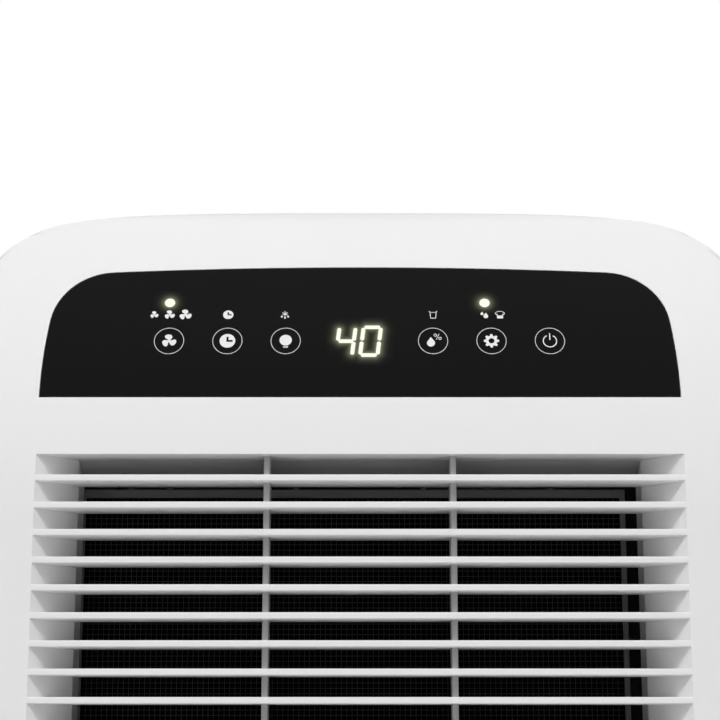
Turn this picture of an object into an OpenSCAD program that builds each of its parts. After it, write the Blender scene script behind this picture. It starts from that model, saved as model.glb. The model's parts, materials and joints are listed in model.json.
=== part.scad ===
// Compressor dehumidifier, millimetres. The front looks along -Y, +Z is up,
// and the origin is on the floor under the middle of the body.

/* [Body] */
// Width over the side walls
body_w = 380; // [360:5:460]
// Depth from the front face to the back
body_d = 260; // [250:5:320]
// Height from the floor to the crown of the top
body_h = 500; // [490:5:600]
// Wall of the two shells
wall = 3; // [2.5:0.1:3.5]
// Height of the shells' lower edge above the floor
skirt_z = 26; // [20:1:30]
// Radius of the upright corners
edge_r = 20; // [14:1:24]
// Radius of the bulging face, seen from the side
face_r = 292; // [270:1:330]
// Lean of the face where the top edge begins, in degrees
face_lean = 28.8; // [26:0.1:31]
// Radius of the edge between the face and the top
top_r = 42; // [36:1:50]
// Radius of the edge between the top and the back
rear_r = 30; // [20:1:36]
// Radius of the arched top, seen from the front
arch_r = 950; // [850:25:1400]
// How far the joint between the shells lies behind the front
seam_setback = 90; // [86:1:110]

/* [Grille] */
// Distance from the body's side to the end of the slots
grille_margin = 40.8; // [38:0.1:50]
// Height of the top slot's upper edge over the foot of the bulge
grille_rise = 28; // [24:0.1:32]
// Distance from one slat to the next
slat_pitch = 12.58; // [11:0.01:14]
// Height of a slat's front edge
slat_h = 2.95; // [2.4:0.05:3.6]
// Depth of the slats behind the front plane
slat_depth = 22; // [16:0.5:24]
// How far the end walls lean in over the slats' depth
splay = 17; // [12:0.1:20]
// Depth of the intake tunnel behind the front plane
tunnel_depth = 40; // [36:1:42]
// Half the distance between the two upright ribs
rib_x = 43.1; // [36:0.1:50]
// Thickness of an upright rib
rib_t = 2.8; // [2:0.1:4]
// How far the ribs stand behind the slats' front edges
rib_setback = 6.5; // [4:0.5:9]

/* [Control panel] */
// Distance from the body's side to the panel's widest point
panel_margin = 40.8; // [40:0.1:52]
// Height of the panel's lower edge over the foot of the bulge
panel_rise = 55.6; // [52:0.1:60]
// Height of the panel, measured upright
panel_h = 67.6; // [60:0.1:68]
// Thickness of the panel
panel_t = 2.2; // [1.6:0.1:2.6]
// Gap round the panel
panel_gap = 0.35; // [0.2:0.05:0.6]
// Distance between neighbouring touch keys
key_pitch = 27.6; // [24:0.1:30]
// Distance from the middle to the innermost key
key_first = 34.5; // [30:0.1:38]
// Height of the keys' row over the foot of the bulge
key_rise = 83.7; // [80:0.1:87]
// Distance up the face from the keys to the lamps
lamp_step = 21.4; // [19:0.1:22]
// Distance up the face from the keys to the small symbols' lamps
symbol_step = 14.4; // [12:0.1:16]

/* [Tank] */
// Distance from the body's side to the tank's front cover
tank_margin = 40; // [38:1:50]
// Height of the tank cover's lower edge
tank_z = 56; // [54:1:60]
// Height of the tank's front cover
tank_h = 149; // [140:1:152]
// Depth of the tank behind its cover
tank_d = 118; // [100:1:120]
// Wall of the tank
tank_wall = 2; // [1.6:0.1:2.4]
// Width of the finger notch in the tank's cover
notch_w = 100; // [80:1:120]

/* [Coils and fan] */
// Half the length of the finned coils
coil_half = 118; // [100:1:120]
// Depth of the evaporator
evaporator_d = 22; // [18:1:24]
// Depth of the condenser
condenser_d = 28; // [22:1:30]
// Outer radius of the coils' copper tube
tube_r = 4.7; // [3.5:0.1:5]
// Outer radius of the fan wheel
fan_r = 75; // [66:1:76]
// Width of the fan wheel
fan_w = 46; // [36:1:48]
// Blades on the fan wheel
fan_blades = 30; // [20:1:36]
// Radius of the motor shaft
shaft_r = 4; // [3:0.5:5]

/* [Outlet] */
// Half the length of the outlet
outlet_half = 118; // [100:1:120]
// Width of the outlet, front to back
outlet_w = 72; // [66:1:76]
// Number of pivoting vanes
vane_count = 3; // [3:1:3]
// Width of a vane
vane_w = 20; // [16:1:21]
// Offset of the link's pin from the vane's pivot
crank = 8; // [7:0.5:8]

/* [Casters] */
// Radius of a wheel
wheel_r = 15; // [13:0.5:16]
// Width of a wheel
wheel_w = 16; // [12:1:18]
// Distance from the swivel to the axle
trail = 12; // [8:1:13]
// Distance from the body's side to a swivel
caster_inset_x = 40; // [38:1:60]
// Distance from the body's front or back to a swivel
caster_inset_y = 35; // [33:1:50]

/* [Hidden] */
$fn = 48;
eps = 0.01;
fit_gap = 0.3;      // gap round a piece that sits in a hole
run_gap = 0.06;     // gap round a shaft that turns

front_y = -body_d / 2;
back_y = body_d / 2;
half_w = body_w / 2;
seam_y = front_y + seam_setback;
face_z = body_h - face_r * sin(face_lean) - top_r * (1 - sin(face_lean)); // foot of the bulge

// The outline of the body from the front is a chain of arcs from the crown down to the side.
body_radii = [arch_r, 194, 50, 300];
body_turns = [16.6, 80, 90];
panel_radii = [2460, 29.5, 312];
panel_turns = [83, 90];
arc_steps = [3, 4, 12, 4];

grille_half = half_w - grille_margin;
tunnel_half = grille_half - splay;
grille_top = face_z + grille_rise;
slot_h = slat_pitch - slat_h;
tank_top = tank_z + tank_h;
tray_z = tank_top + 1;
tray_t = 3;
tray_rim = 8;
grille_floor = tray_z + 13;
slot_count = floor((grille_top - grille_floor + slat_h) / slat_pitch);
grille_bottom = grille_top - slot_count * slat_pitch + slat_h;
hood_drop = 10;      // the tunnel's ceiling slopes down this far behind the slats

panel_half = half_w - panel_margin;
panel_top = face_z + panel_rise + panel_h;
pad_t = 2.6;         // thickness of the shell behind the panel

filter_y = front_y + tunnel_depth + fit_gap;
filter_t = 4;
filter_top = grille_top - hood_drop - 1.2;
filter_bottom = tray_z + 10.5;
filter_right = tunnel_half - 5.3;
filter_bar = 4;
filter_side = 2.6;   // width of the frame's upright bars in the intake
filter_grip_w = 24;
filter_tabs = [-109.7, -91.2, -30.6, 30.4, 60.7, 91.3];

coil_bottom = tray_z + 10;
evaporator_y = filter_y + filter_t + 3.7;
condenser_y = evaporator_y + evaporator_d + 8;
coil_top = grille_top - 14;
coil_passes = 6;
coil_pitch = (coil_top - coil_bottom) / coil_passes;
coil_low_z = coil_bottom + 0.5 * coil_pitch;                // height of the lowest tube
coil_top_z = coil_bottom + (coil_passes - 0.5) * coil_pitch; // height of the highest tube

scroll_y = condenser_y + condenser_d + 8;
scroll_d = fan_w + 30;
scroll_wall = 2;
fan_x = -8;
spiral_in = fan_r + 7;
spiral_out = fan_r + 37;
fan_z = tray_z + 13 + spiral_in + 0.7 * (spiral_out - spiral_in);
fan_y = scroll_y + 10;
motor_r = 40;
motor_d = 42;

outlet_y = scroll_y + 2;
outlet_mid = outlet_y + outlet_w / 2;
frame_z = body_h - 36;
frame_wall = 2.5;
vane_z = body_h - 18;
vane_pitch = outlet_w / vane_count;
vane_t = 1.8;
vane_half = outlet_half - 4.5;
vane_pin_r = 2;

pan_z = 43;
pan_t = 3;
pan_top = pan_z + pan_t;
bay_half = half_w - tank_margin - 4;
tank_half = bay_half - 6;
tank_back = front_y + 3.5 + tank_d;
tank_rim = tank_top - 25;
lid_t = 4;
float_x = 80;
float_pivot_y = tank_back - 8;
float_pivot_z = tank_rim - 12;

compressor_x = -70;
compressor_y = back_y - 58;
compressor_r = 52;
feet_r = 60;
feet_z = 14;
box_x = 40;

drain_x = 110;
drain_z = tray_z - 12;
drain_r = 7;
pocket = 40;
pocket_d = 16;
flap_t = 2;

gland_x = half_w - 38;
gland_z = 90;

grip_y = 40;
grip_z = face_z + 47;
grip_l = 96;
grip_h = 28;
grip_d = 24;

pipe_x = half_w - 40;

caster_x = half_w - caster_inset_x;
caster_y = body_d / 2 - caster_inset_y;
fork_z = 37.5;
stem_r = 4;
axle_r = 3;

// ---- shapes that the pieces share ----

module block(x0, x1, y0, y1, z0, z1) translate([x0, y0, z0]) cube([x1 - x0, y1 - y0, z1 - z0]);

module rod_x(r, x0, x1, y, z) translate([x0, y, z]) rotate([0, 90, 0]) cylinder(r = r, h = x1 - x0);

module rod_y(r, y0, y1, x, z) translate([x, y0, z]) rotate([-90, 0, 0]) cylinder(r = r, h = y1 - y0);

module along_y(y0, y1) translate([0, y1, 0]) rotate([90, 0, 0]) linear_extrude(y1 - y0) children();

module along_x(x0, x1) translate([x0, 0, 0]) rotate([90, 0, 90]) linear_extrude(x1 - x0) children();

// The points of an arc: angles run from straight up towards +X.
function arc(c, r, a0, a1, n, first = 0) =
    [for (i = [first:n]) let (a = a0 + (a1 - a0) * i / n) c + r * [sin(a), cos(a)]];

// A rectangle with round corners, centred.
function round_rect(w, h, r, n = 6) = concat(
    arc([w / 2 - r, h / 2 - r], r, 0, 90, n), arc([w / 2 - r, r - h / 2], r, 90, 180, n),
    arc([r - w / 2, r - h / 2], r, 180, 270, n), arc([r - w / 2, h / 2 - r], r, 270, 360, n));

// Where the first arc of a crown ends, so that the last one ends at half.
function crown_start(half, radii, turns) =
    asin((half - sum_turns(radii, turns, 0)) / (radii[0] - radii[1]));
function sum_turns(radii, turns, i) = i == len(turns) ? 0 :
    radii[i + 1] * (sin(turns[i]) - (i == 0 ? 0 : sin(turns[i - 1]))) + sum_turns(radii, turns, i + 1);
function crown_centre(top, radii, a, i) = i == 0 ? [0, top - radii[0]] :
    crown_centre(top, radii, a, i - 1) + (radii[i - 1] - radii[i]) * [sin(a[i - 1]), cos(a[i - 1])];

// The right half of an arched outline, from its crown to its upright side, inset by t.
function crown(half, top, radii, turns, t) =
    let (a = concat([crown_start(half, radii, turns)], turns))
    [for (i = [0:len(radii) - 1])
        each arc(crown_centre(top, radii, a, i), radii[i] - t, i == 0 ? 0 : a[i - 1], a[i],
            arc_steps[i], i == 0 ? 0 : 1)];

module crown_shape(half, top, radii, turns, t, bottom) {
    right = crown(half, top, radii, turns, t);
    n = len(right);
    polygon(concat(right, [[half - t, bottom], [t - half, bottom]],
        [for (i = [n - 1:-1:1]) [-right[i][0], right[i][1]]]));
}

// The side view of the body, inset by t: upright front, bulging face, top, back.
module side_shape(t, bottom) {
    face_c = [front_y + face_r, face_z];
    top_c = face_c + (face_r - top_r) * [-cos(face_lean), sin(face_lean)];
    polygon(concat([[front_y + t, bottom]],
        arc(face_c, face_r - t, -90, face_lean - 90, 10),
        arc(top_c, top_r - t, face_lean - 90, 0, 8, 1),
        arc([back_y - rear_r, body_h - rear_r], rear_r - t, 0, 90, 6),
        [[back_y - t, bottom]]));
}

module plan_shape(t) polygon(round_rect(body_w - 2 * t, body_d - 2 * t, edge_r - t));

// The solid inside the body's surface, inset by t, from bottom up.
module body(t, bottom = skirt_z) intersection() {
    along_y(front_y - 1, back_y + 1)
        crown_shape(half_w, body_h, body_radii, body_turns, t, bottom);
    along_x(-half_w - 1, half_w + 1) side_shape(t, bottom);
    translate([0, 0, bottom]) linear_extrude(body_h) plan_shape(t);
}

// How far the face lies behind the front plane at height z.
function setback(z) = z < face_z ? 0 : face_r - sqrt(face_r * face_r - (z - face_z) * (z - face_z));

// Puts children on the face at a height over the bulge's foot: +Z outwards, +Y up the face.
module on_face(rise) {
    a = asin(rise / face_r);
    translate([0, front_y + face_r * (1 - cos(a)), face_z + rise]) rotate([90 - a, 0, 0]) children();
}

module centred(w, h, z0, z1, x = 0, y = 0) block(x - w / 2, x + w / 2, y - h / 2, y + h / 2, z0, z1);

// A round tube or rod through a list of points, with ball corners.
module rod_path(points, r) union() {
    for (i = [0:len(points) - 2]) {
        d = points[i + 1] - points[i];
        translate(points[i]) rotate([0, acos(d[2] / norm(d)), atan2(d[1], d[0])])
            cylinder(r = r, h = norm(d), $fn = 24);
    }
    if (len(points) > 2) for (i = [1:len(points) - 2]) translate(points[i]) sphere(r = r, $fn = 24);
}

function key_x(i) = (i < 3 ? -1 : 1) * (key_first + key_pitch * (i < 3 ? 2 - i : i - 3));

// ---- shells ----

module slot(k) {
    z1 = grille_top - k * slat_pitch;
    surface = setback(z1 - slot_h / 2);
    slope = splay / (slat_depth - surface);
    mouth = grille_half + slope * (surface + 2);
    translate([0, 0, z1 - slot_h]) linear_extrude(slot_h)
        polygon([[-mouth, front_y - 2], [mouth, front_y - 2],
            [tunnel_half, front_y + slat_depth + eps], [-tunnel_half, front_y + slat_depth + eps]]);
}

module grille_block() intersection() {
    body(0);
    block(-grille_half - wall, grille_half + wall, front_y - 1, front_y + tunnel_depth,
        grille_bottom - wall, grille_top + wall);
}

module hood() along_x(-grille_half, grille_half) polygon([[front_y + slat_depth, grille_top + 1],
    [front_y + slat_depth, grille_top], [front_y + tunnel_depth, grille_top - hood_drop],
    [front_y + tunnel_depth, grille_top + 1]]);

module ribs() intersection() {
    body(rib_setback);
    for (s = [-1, 1]) block(s * rib_x - rib_t / 2, s * rib_x + rib_t / 2,
        front_y, front_y + slat_depth, grille_bottom, grille_top);
}

module panel_outline(t) intersection() {
    crown_shape(panel_half, panel_top, panel_radii, panel_turns, t, face_z);
    translate([-half_w, face_z + panel_rise + t]) square([body_w, body_h]);
}

// The sheet of the face between two insets, inside the panel's outline grown by -t.
module face_sheet(t, out, in) intersection() {
    along_y(front_y - 1, front_y + 80) panel_outline(t);
    along_x(-half_w, half_w) difference() { side_shape(out, 0); side_shape(in, 0); }
}

module front_shell() color("white") union() {
    difference() {
        union() {
            difference() {
                intersection() {
                    body(0);
                    block(-half_w, half_w, front_y - 1, seam_y, 0, body_h + 1);
                }
                body(wall, skirt_z - 1);
            }
            grille_block();
            face_sheet(-4, wall - eps, panel_t + pad_t + 0.2);
        }
        face_sheet(-panel_gap, -1, panel_t + 0.2);
        on_face(key_rise) centred(2 * key_x(5) + 30, 48, -20, 0, 0, 9);
        for (k = [0:slot_count - 1]) slot(k);
        block(-tunnel_half, tunnel_half, front_y + slat_depth, front_y + tunnel_depth + eps,
            grille_bottom, grille_top);
        along_y(front_y - 1, front_y + 8) translate([0, tank_z + tank_h / 2])
            polygon(round_rect(body_w - 2 * tank_margin + 1, tank_h + 1, 6.5));
        block(-half_w - 1, -half_w + wall + 1, filter_door_y - fit_gap,
            filter_door_y + filter_grip_w + fit_gap,
            filter_bottom - 2 - fit_gap, filter_top + 2 + fit_gap);
    }
    ribs();
    hood();
}
filter_door_y = filter_y + filter_t / 2 - filter_grip_w / 2;

screw_places = [[-1, 70], [1, 70], [-1, 250], [1, 250], [-1, body_h - 75], [1, body_h - 75]];
screw_inset = 26;
vent_slots = 6;
cover_z = body_h - 48; // foot of the top cover

// The hollow case behind the seam, between two heights.
module case_behind(z0, z1) difference() {
    intersection() {
        body(0);
        block(-half_w, half_w, seam_y + 0.2, back_y + 1, z0, z1);
    }
    body(wall, skirt_z - 1);
}

module rear_shell() color("white") difference() {
    union() {
        case_behind(0, cover_z - 0.2);
        block(drain_x - pocket / 2 - 2, drain_x + pocket / 2 + 2, back_y - pocket_d - 2, back_y - 1,
            drain_z - pocket / 2 - 2, drain_z + pocket / 2 + 5);
        for (p = screw_places) rod_y(5, back_y - 12, back_y - 1, p[0] * (half_w - screw_inset), p[1]);
    }
    for (s = [-1, 1]) block(s * half_w - wall - 1, s * half_w + wall + 1, grip_y - grip_l / 2 - fit_gap,
        grip_y + grip_l / 2 + fit_gap, grip_z - grip_h / 2 - fit_gap, grip_z + grip_h / 2 + fit_gap);
    block(drain_x - pocket / 2, drain_x + pocket / 2, back_y - pocket_d, back_y + 1,
        drain_z - pocket / 2, drain_z + pocket / 2 + 3);
    rod_x(1.6, drain_x - pocket / 2 - 1.5, drain_x + pocket / 2 + 1.5, flap_y, flap_z);
    rod_y(drain_r + fit_gap, back_y - pocket_d - 3, back_y, drain_x, drain_z);
    rod_y(8, back_y - 10, back_y + 1, gland_x, gland_z);
    for (p = screw_places) {
        rod_y(2.05, back_y - 13, back_y + 1, p[0] * (half_w - screw_inset), p[1]);
        rod_y(3.8, back_y - 3, back_y + 1, p[0] * (half_w - screw_inset), p[1]);
    }
    for (k = [0:vent_slots - 1]) block(compressor_x - 55, compressor_x + 55,
        back_y - wall - 1, back_y + 1, 108 + 12 * k, 113 + 12 * k);
}

// The cover that closes the case round the outlet.
module top_cover() color("white") difference() {
    case_behind(cover_z, body_h + 1);
    block(-outlet_half - frame_wall - fit_gap, outlet_half + frame_wall + fit_gap,
        outlet_y - frame_wall - fit_gap, outlet_y + outlet_w + frame_wall + fit_gap,
        frame_z - 20, body_h + 1);
}
flap_y = back_y - 2;
flap_z = drain_z + pocket / 2 - 0.5;

module shell_screws() color("silver")
    for (p = screw_places) {
        x = p[0] * (half_w - screw_inset);
        rod_y(1.95, back_y - 14, back_y - 2.9, x, p[1]);
        difference() {
            rod_y(3.6, back_y - 3, back_y - 0.8, x, p[1]);
            translate([x, back_y - 1.2, p[1]]) cube([4.6, 1.4, 1], center = true);
            translate([x, back_y - 1.2, p[1]]) cube([1, 1.4, 4.6], center = true);
        }
    }

module grip(s) color("whitesmoke") difference() {
    block(s > 0 ? half_w - grip_d : -half_w, s > 0 ? half_w : grip_d - half_w,
        grip_y - grip_l / 2, grip_y + grip_l / 2, grip_z - grip_h / 2, grip_z + grip_h / 2);
    block(s > 0 ? half_w - grip_d + 2 : -half_w - 1, s > 0 ? half_w + 1 : grip_d - half_w - 2,
        grip_y - grip_l / 2 + 2, grip_y + grip_l / 2 - 2,
        grip_z - grip_h / 2 + 2, grip_z + grip_h / 2 - 2);
}
module grips() for (s = [-1, 1]) grip(s);

// ---- outlet ----

guard_bars = 11;

module outlet_frame() color("gainsboro") difference() {
    union() {
        difference() {
            intersection() {
                body(0);
                block(-outlet_half - frame_wall, outlet_half + frame_wall,
                    outlet_y - frame_wall, outlet_y + outlet_w + frame_wall, frame_z, body_h + 1);
            }
            block(-outlet_half, outlet_half, outlet_y, outlet_y + outlet_w, frame_z - 1, body_h + 2);
        }
        for (i = [1:guard_bars]) translate([(2 * i / (guard_bars + 1) - 1) * outlet_half, 0, 0])
            block(-1, 1, outlet_y - 1, outlet_y + outlet_w + 1, frame_z, frame_z + 3);
    }
    for (i = [0:vane_count - 1])
        rod_x(vane_pin_r + run_gap, -outlet_half - 5, outlet_half + 5, vane_y(i), vane_z);
}

function vane_y(i) = outlet_mid + (i - (vane_count - 1) / 2) * vane_pitch;

module vane(i) color("gainsboro") union() {
    block(-vane_half, vane_half, vane_y(i) - vane_t / 2, vane_y(i) + vane_t / 2,
        vane_z - vane_w / 2, vane_z + vane_w / 2);
    rod_x(2.8, -vane_half, vane_half, vane_y(i), vane_z);
    rod_x(vane_pin_r, -outlet_half - 1.5, -vane_half + 1, vane_y(i), vane_z);
    rod_x(vane_pin_r, vane_half - 1, outlet_half + (i == 0 ? 9 : 1.5), vane_y(i), vane_z);
    rod_x(1.2, -outlet_half + 0.6, -vane_half + 1, vane_y(i), vane_z - crank);
}
module vane_front() vane(0);
module vane_middle() vane(1);
module vane_rear() vane(2);

module vane_link() color("dimgray") difference() {
    block(-outlet_half + 1.2, -outlet_half + 3.2, vane_y(0) - 4, vane_y(vane_count - 1) + 4,
        vane_z - crank - 2, vane_z - crank + 2);
    for (i = [0:vane_count - 1]) rod_x(1.28, -outlet_half, -outlet_half + 5, vane_y(i), vane_z - crank);
}

swing_drop = 5; // the motor hangs this far below its shaft
module swing_motor() color("silver") difference() {
    union() {
        rod_x(8.5, outlet_half + frame_wall, outlet_half + frame_wall + 14,
            vane_y(0), vane_z - swing_drop);
        block(outlet_half + frame_wall, outlet_half + frame_wall + 1.5, vane_y(0) - 14, vane_y(0) + 14,
            vane_z - 4, vane_z + 4);
    }
    rod_x(vane_pin_r + run_gap, outlet_half, outlet_half + frame_wall + 8, vane_y(0), vane_z);
}

// ---- control panel ----

module control_panel() color("#1c1c1c") face_sheet(0, 0.05, panel_t);

board_n = -12;
board_t = 1.6;

module display_board() color("darkgreen") on_face(key_rise)
    centred(2 * key_x(5) + 24, 40, board_n, board_n + board_t, 0, 8);

module digit_display() color("dimgray") on_face(key_rise)
    centred(27, 22, board_n + board_t, -3);

lamp_places = [-91, 59.5];
symbol_places = [-97.9, -90.6, -83.1, -62.7, -35.7, 34.8, 59.4, 66.6];

module status_lamps() color("ivory") on_face(key_rise) {
    for (x = lamp_places) centred(3, 3, board_n + board_t, -4.2, x, lamp_step);
    for (x = symbol_places) centred(3, 3, board_n + board_t, -4.2, x, symbol_step);
}

module touch_springs() color("silver") on_face(key_rise)
    for (i = [0:5]) translate([key_x(i), 0, board_n + board_t]) difference() {
        cylinder(r = 5, h = -2.8 - board_n - board_t);
        translate([0, 0, 0.6]) cylinder(r = 4.3, h = 20);
    }

// ---- filter ----

module filter_frame() color("#3c3c3c") union() {
    difference() {
        block(-half_w + 2, filter_right, filter_y, filter_y + filter_t, filter_bottom, filter_top);
        block(-tunnel_half + 1, filter_right - filter_side, filter_y - 1, filter_y + filter_t + 1,
            filter_bottom + filter_bar, filter_top - filter_bar);
        block(-half_w + 14, -tunnel_half - 8, filter_y - 1, filter_y + filter_t + 1,
            filter_bottom + 16, filter_top - 16);
    }
    for (x = [-rib_x, rib_x]) block(x - 1.4, x + 1.4, filter_y + 2, filter_y + filter_t,
        filter_bottom + filter_bar - 1, filter_top - filter_bar + 1);
    for (x = filter_tabs) block(x - 1.3, x + 1.3, filter_y + 0.5, filter_y + 2,
        filter_top - 1, filter_top + 1);
    difference() {
        block(-half_w, -half_w + 10, filter_door_y, filter_door_y + filter_grip_w,
            filter_bottom - 2, filter_top + 2);
        block(-half_w + 2.4, -half_w + 11, filter_door_y - 1, filter_y - 3, 0, body_h);
        block(-half_w + 2.4, -half_w + 11, filter_y + filter_t + 3, filter_door_y + filter_grip_w + 1,
            0, body_h);
        block(-half_w - 1, -half_w + 8, filter_y - 1, filter_y + filter_t + 1,
            filter_mid_z - 22, filter_mid_z + 22);
    }
}
filter_mid_z = (filter_top + filter_bottom) / 2;

module filter_mesh() color("#101010")
    block(-tunnel_half + 1, filter_right - filter_side, filter_y + 1, filter_y + 1.8,
        filter_bottom + filter_bar, filter_top - filter_bar);

// ---- coils ----

module coil_fins(y0, y1, rows) difference() {
    block(-coil_half, coil_half, y0, y1, coil_bottom, coil_top);
    for (y = rows) for (i = [0:coil_passes - 1])
        rod_x(tube_r + 0.05, -coil_half - 1, coil_half + 1, y, coil_bottom + (i + 0.5) * coil_pitch);
}

// A half ring that joins two tube ends a distance span apart, bulging towards +X.
module return_bend(span) rotate([90, 0, 0]) rotate([0, 0, -90])
    rotate_extrude(angle = 180, $fn = 48) translate([span / 2, 0]) circle(r = tube_r - 0.6);

// The tubes' two free ends are on the side away from the first bend.
module coil_tubes(rows, first_bend) union() {
    for (y = rows) {
        for (i = [0:coil_passes - 1])
            rod_x(tube_r, -coil_half - 6, coil_half + 6, y, coil_bottom + (i + 0.5) * coil_pitch);
        for (i = [0:coil_passes - 2]) {
            s = i % 2 == 0 ? first_bend : -first_bend;
            translate([s * (coil_half + 4.5), y, coil_bottom + (i + 1) * coil_pitch])
                rotate([0, 0, s > 0 ? 0 : 180]) return_bend(coil_pitch);
        }
    }
    if (len(rows) > 1) translate([-first_bend * (coil_half + 4.5), (rows[0] + rows[1]) / 2, coil_low_z])
        rotate([0, 0, first_bend > 0 ? 180 : 0]) rotate([90, 0, 0]) return_bend(rows[1] - rows[0]);
}

evaporator_row = evaporator_y + evaporator_d / 2;
condenser_rows = [condenser_y + condenser_d * 0.27, condenser_y + condenser_d * 0.73];

module evaporator_fins() color("#6f8fa5")
    coil_fins(evaporator_y, evaporator_y + evaporator_d, [evaporator_row]);
module evaporator_tubes() color("#b87333") coil_tubes([evaporator_row], -1);
module condenser_fins() color("lightgray")
    coil_fins(condenser_y, condenser_y + condenser_d, condenser_rows);
module condenser_tubes() color("#b87333") coil_tubes(condenser_rows, 1);

tray_front = front_y + tunnel_depth + 2;
tray_back = scroll_y + 52;

module drip_tray() color("gainsboro") difference() {
    union() {
        block(-half_w + wall + 1, half_w - wall - 1, tray_front, tray_back, tray_z, tray_z + tray_t);
        difference() {
            block(-half_w + wall + 1, half_w - wall - 1, tray_front, tray_back,
                tray_z, tray_z + tray_rim);
            block(-half_w + wall + 3, half_w - wall - 3, tray_front + 2, tray_back - 2,
                tray_z - 1, tray_z + tray_rim + 1);
        }
        for (x = [-coil_half + 20, 0, coil_half - 20])
            block(x - 3, x + 3, evaporator_y, condenser_y + condenser_d, tray_z + 1, coil_bottom);
        translate([0, drip_y, tray_z - 8]) cylinder(r = 9, h = 9);
        block(drain_x - 12, drain_x + 12, tray_back - 24, tray_back, tray_z - 21, tray_z + 1);
    }
    translate([0, drip_y, tray_z - 9]) cylinder(r = 6, h = 20);
    block(drain_x - 9, drain_x + 9, tray_back - 21, tray_back - 3, tray_z - 18, tray_z + 10);
    rod_y(drain_r - 2, tray_back - 10, tray_back + 1, drain_x, drain_z);
}
drip_y = front_y + 70;

// ---- fan ----

// The spiral of the fan casing from its tongue round to its outer wall, then up to the outlet.
function spiral(a, t) = (spiral_in + (spiral_out - spiral_in) * (a - 60) / 300 + t) * [cos(a), sin(a)];
module scroll_shape(t) {
    right = fan_x + spiral_out + t;
    polygon(concat([for (a = [60:10:360]) [fan_x, fan_z] + spiral(a, t)],
        [[right, frame_z - 40], [outlet_half + t, frame_z], [-outlet_half - t, frame_z],
            [fan_x + spiral_in * cos(60) - t, fan_z + spiral_in * sin(60) + 22]]));
}

module scroll_half(y0, y1, plate_y, hole_r) difference() {
    along_y(y0, y1) scroll_shape(scroll_wall);
    along_y(plate_y == y0 ? y0 + scroll_wall : y0 - 1, plate_y == y0 ? y1 + 1 : y1 - scroll_wall)
        scroll_shape(0);
    rod_y(hole_r, plate_y - 10, plate_y + 10, fan_x, fan_z);
}

scroll_mid = scroll_y + scroll_d / 2;
module scroll_front() color("whitesmoke") union() {
    scroll_half(scroll_y, scroll_mid, scroll_y, fan_r - 14);
    translate([fan_x, scroll_y, fan_z]) rotate([-90, 0, 0]) rotate_extrude()
        translate([fan_r - 14, 0]) polygon([[0, 0], [2, 0], [2, 7], [0, 7]]);
}
module scroll_rear() color("whitesmoke")
    scroll_half(scroll_mid, scroll_y + scroll_d, scroll_y + scroll_d, 18);

blade_in = fan_r - 12;
module blade() linear_extrude(fan_w - 2) polygon(concat(
    arc([blade_in + 4, -7.5], 11.2, -60, 20, 5),
    [for (i = [5:-1:0]) let (a = -60 + 80 * i / 5) [blade_in + 4, -7.5] + 10 * [sin(a), cos(a)]]));

module impeller() color("#3a3a3a") translate([fan_x, fan_y, fan_z]) rotate([-90, 0, 0]) difference() {
    union() {
        translate([0, 0, fan_w - 2]) cylinder(r = fan_r, h = 2);
        translate([0, 0, fan_w - 24]) cylinder(r = 12, h = 24);
        difference() {
            cylinder(r = fan_r, h = 3);
            translate([0, 0, -1]) cylinder(r = blade_in, h = 5);
        }
        for (i = [0:fan_blades - 1]) rotate(i * 360 / fan_blades) blade();
    }
    translate([0, 0, -1]) cylinder(r = shaft_r, h = fan_w + 2);
}

motor_y = scroll_y + scroll_d;
module motor_shaft() color("silver") rod_y(shaft_r, fan_y + fan_w - 26, motor_y + 20, fan_x, fan_z);

module fan_motor() color("#8a8d90") difference() {
    union() {
        rod_y(motor_r, motor_y, motor_y + motor_d - 6, fan_x, fan_z);
        rod_y(motor_r - 8, motor_y + motor_d - 7, motor_y + motor_d, fan_x, fan_z);
    }
    rod_y(shaft_r + run_gap, motor_y - 1, motor_y + 24, fan_x, fan_z);
}

// ---- compressor and pipes ----

compressor_z = pan_top + feet_z;
compressor_h = tray_z - compressor_z - 14;
feet_angles = [30, 150, 270];
function foot(a) = [compressor_x + feet_r * cos(a), compressor_y + feet_r * sin(a)];
accumulator = [compressor_x + compressor_r + 20, compressor_y - 22];

module compressor() color("#202225") difference() {
    union() {
        translate([compressor_x, compressor_y, compressor_z + 3]) rotate_extrude($fn = 64)
            polygon(concat([[0, 0], [compressor_r - 12, 0]],
                arc([compressor_r - 12, 12], 12, 180, 90, 5, 1),
                arc([compressor_r - 30, compressor_h - 34], 30, 90, 20, 7),
                [[0, compressor_h - 3]]));
        translate([compressor_x, compressor_y, compressor_z]) linear_extrude(3)
            polygon([for (a = feet_angles) for (d = [-14, 14])
                (feet_r + 11) * [cos(a + d), sin(a + d)]]);
        translate([accumulator[0], accumulator[1], compressor_z + 30])
            cylinder(r = 15, h = compressor_h - 50);
        block(compressor_x, accumulator[0], accumulator[1] - 3, accumulator[1] + 3,
            compressor_z + 60, compressor_z + 72);
        translate([compressor_x, compressor_y, compressor_z + compressor_h - 4]) cylinder(r = 6, h = 8);
    }
    for (a = feet_angles) translate([foot(a)[0], foot(a)[1], compressor_z - 1]) cylinder(r = 6, h = 5);
}

module compressor_feet() color("#181818") for (a = feet_angles)
    translate([foot(a)[0], foot(a)[1], pan_top]) difference() {
        union() {
            cylinder(r = 9, h = feet_z);
            translate([0, 0, feet_z - eps]) cylinder(r = 5.9, h = 3 + eps);
            translate([0, 0, feet_z + 3]) cylinder(r = 9, h = 3);
        }
        translate([0, 0, -1]) cylinder(r = 3.1, h = 40);
    }

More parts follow.
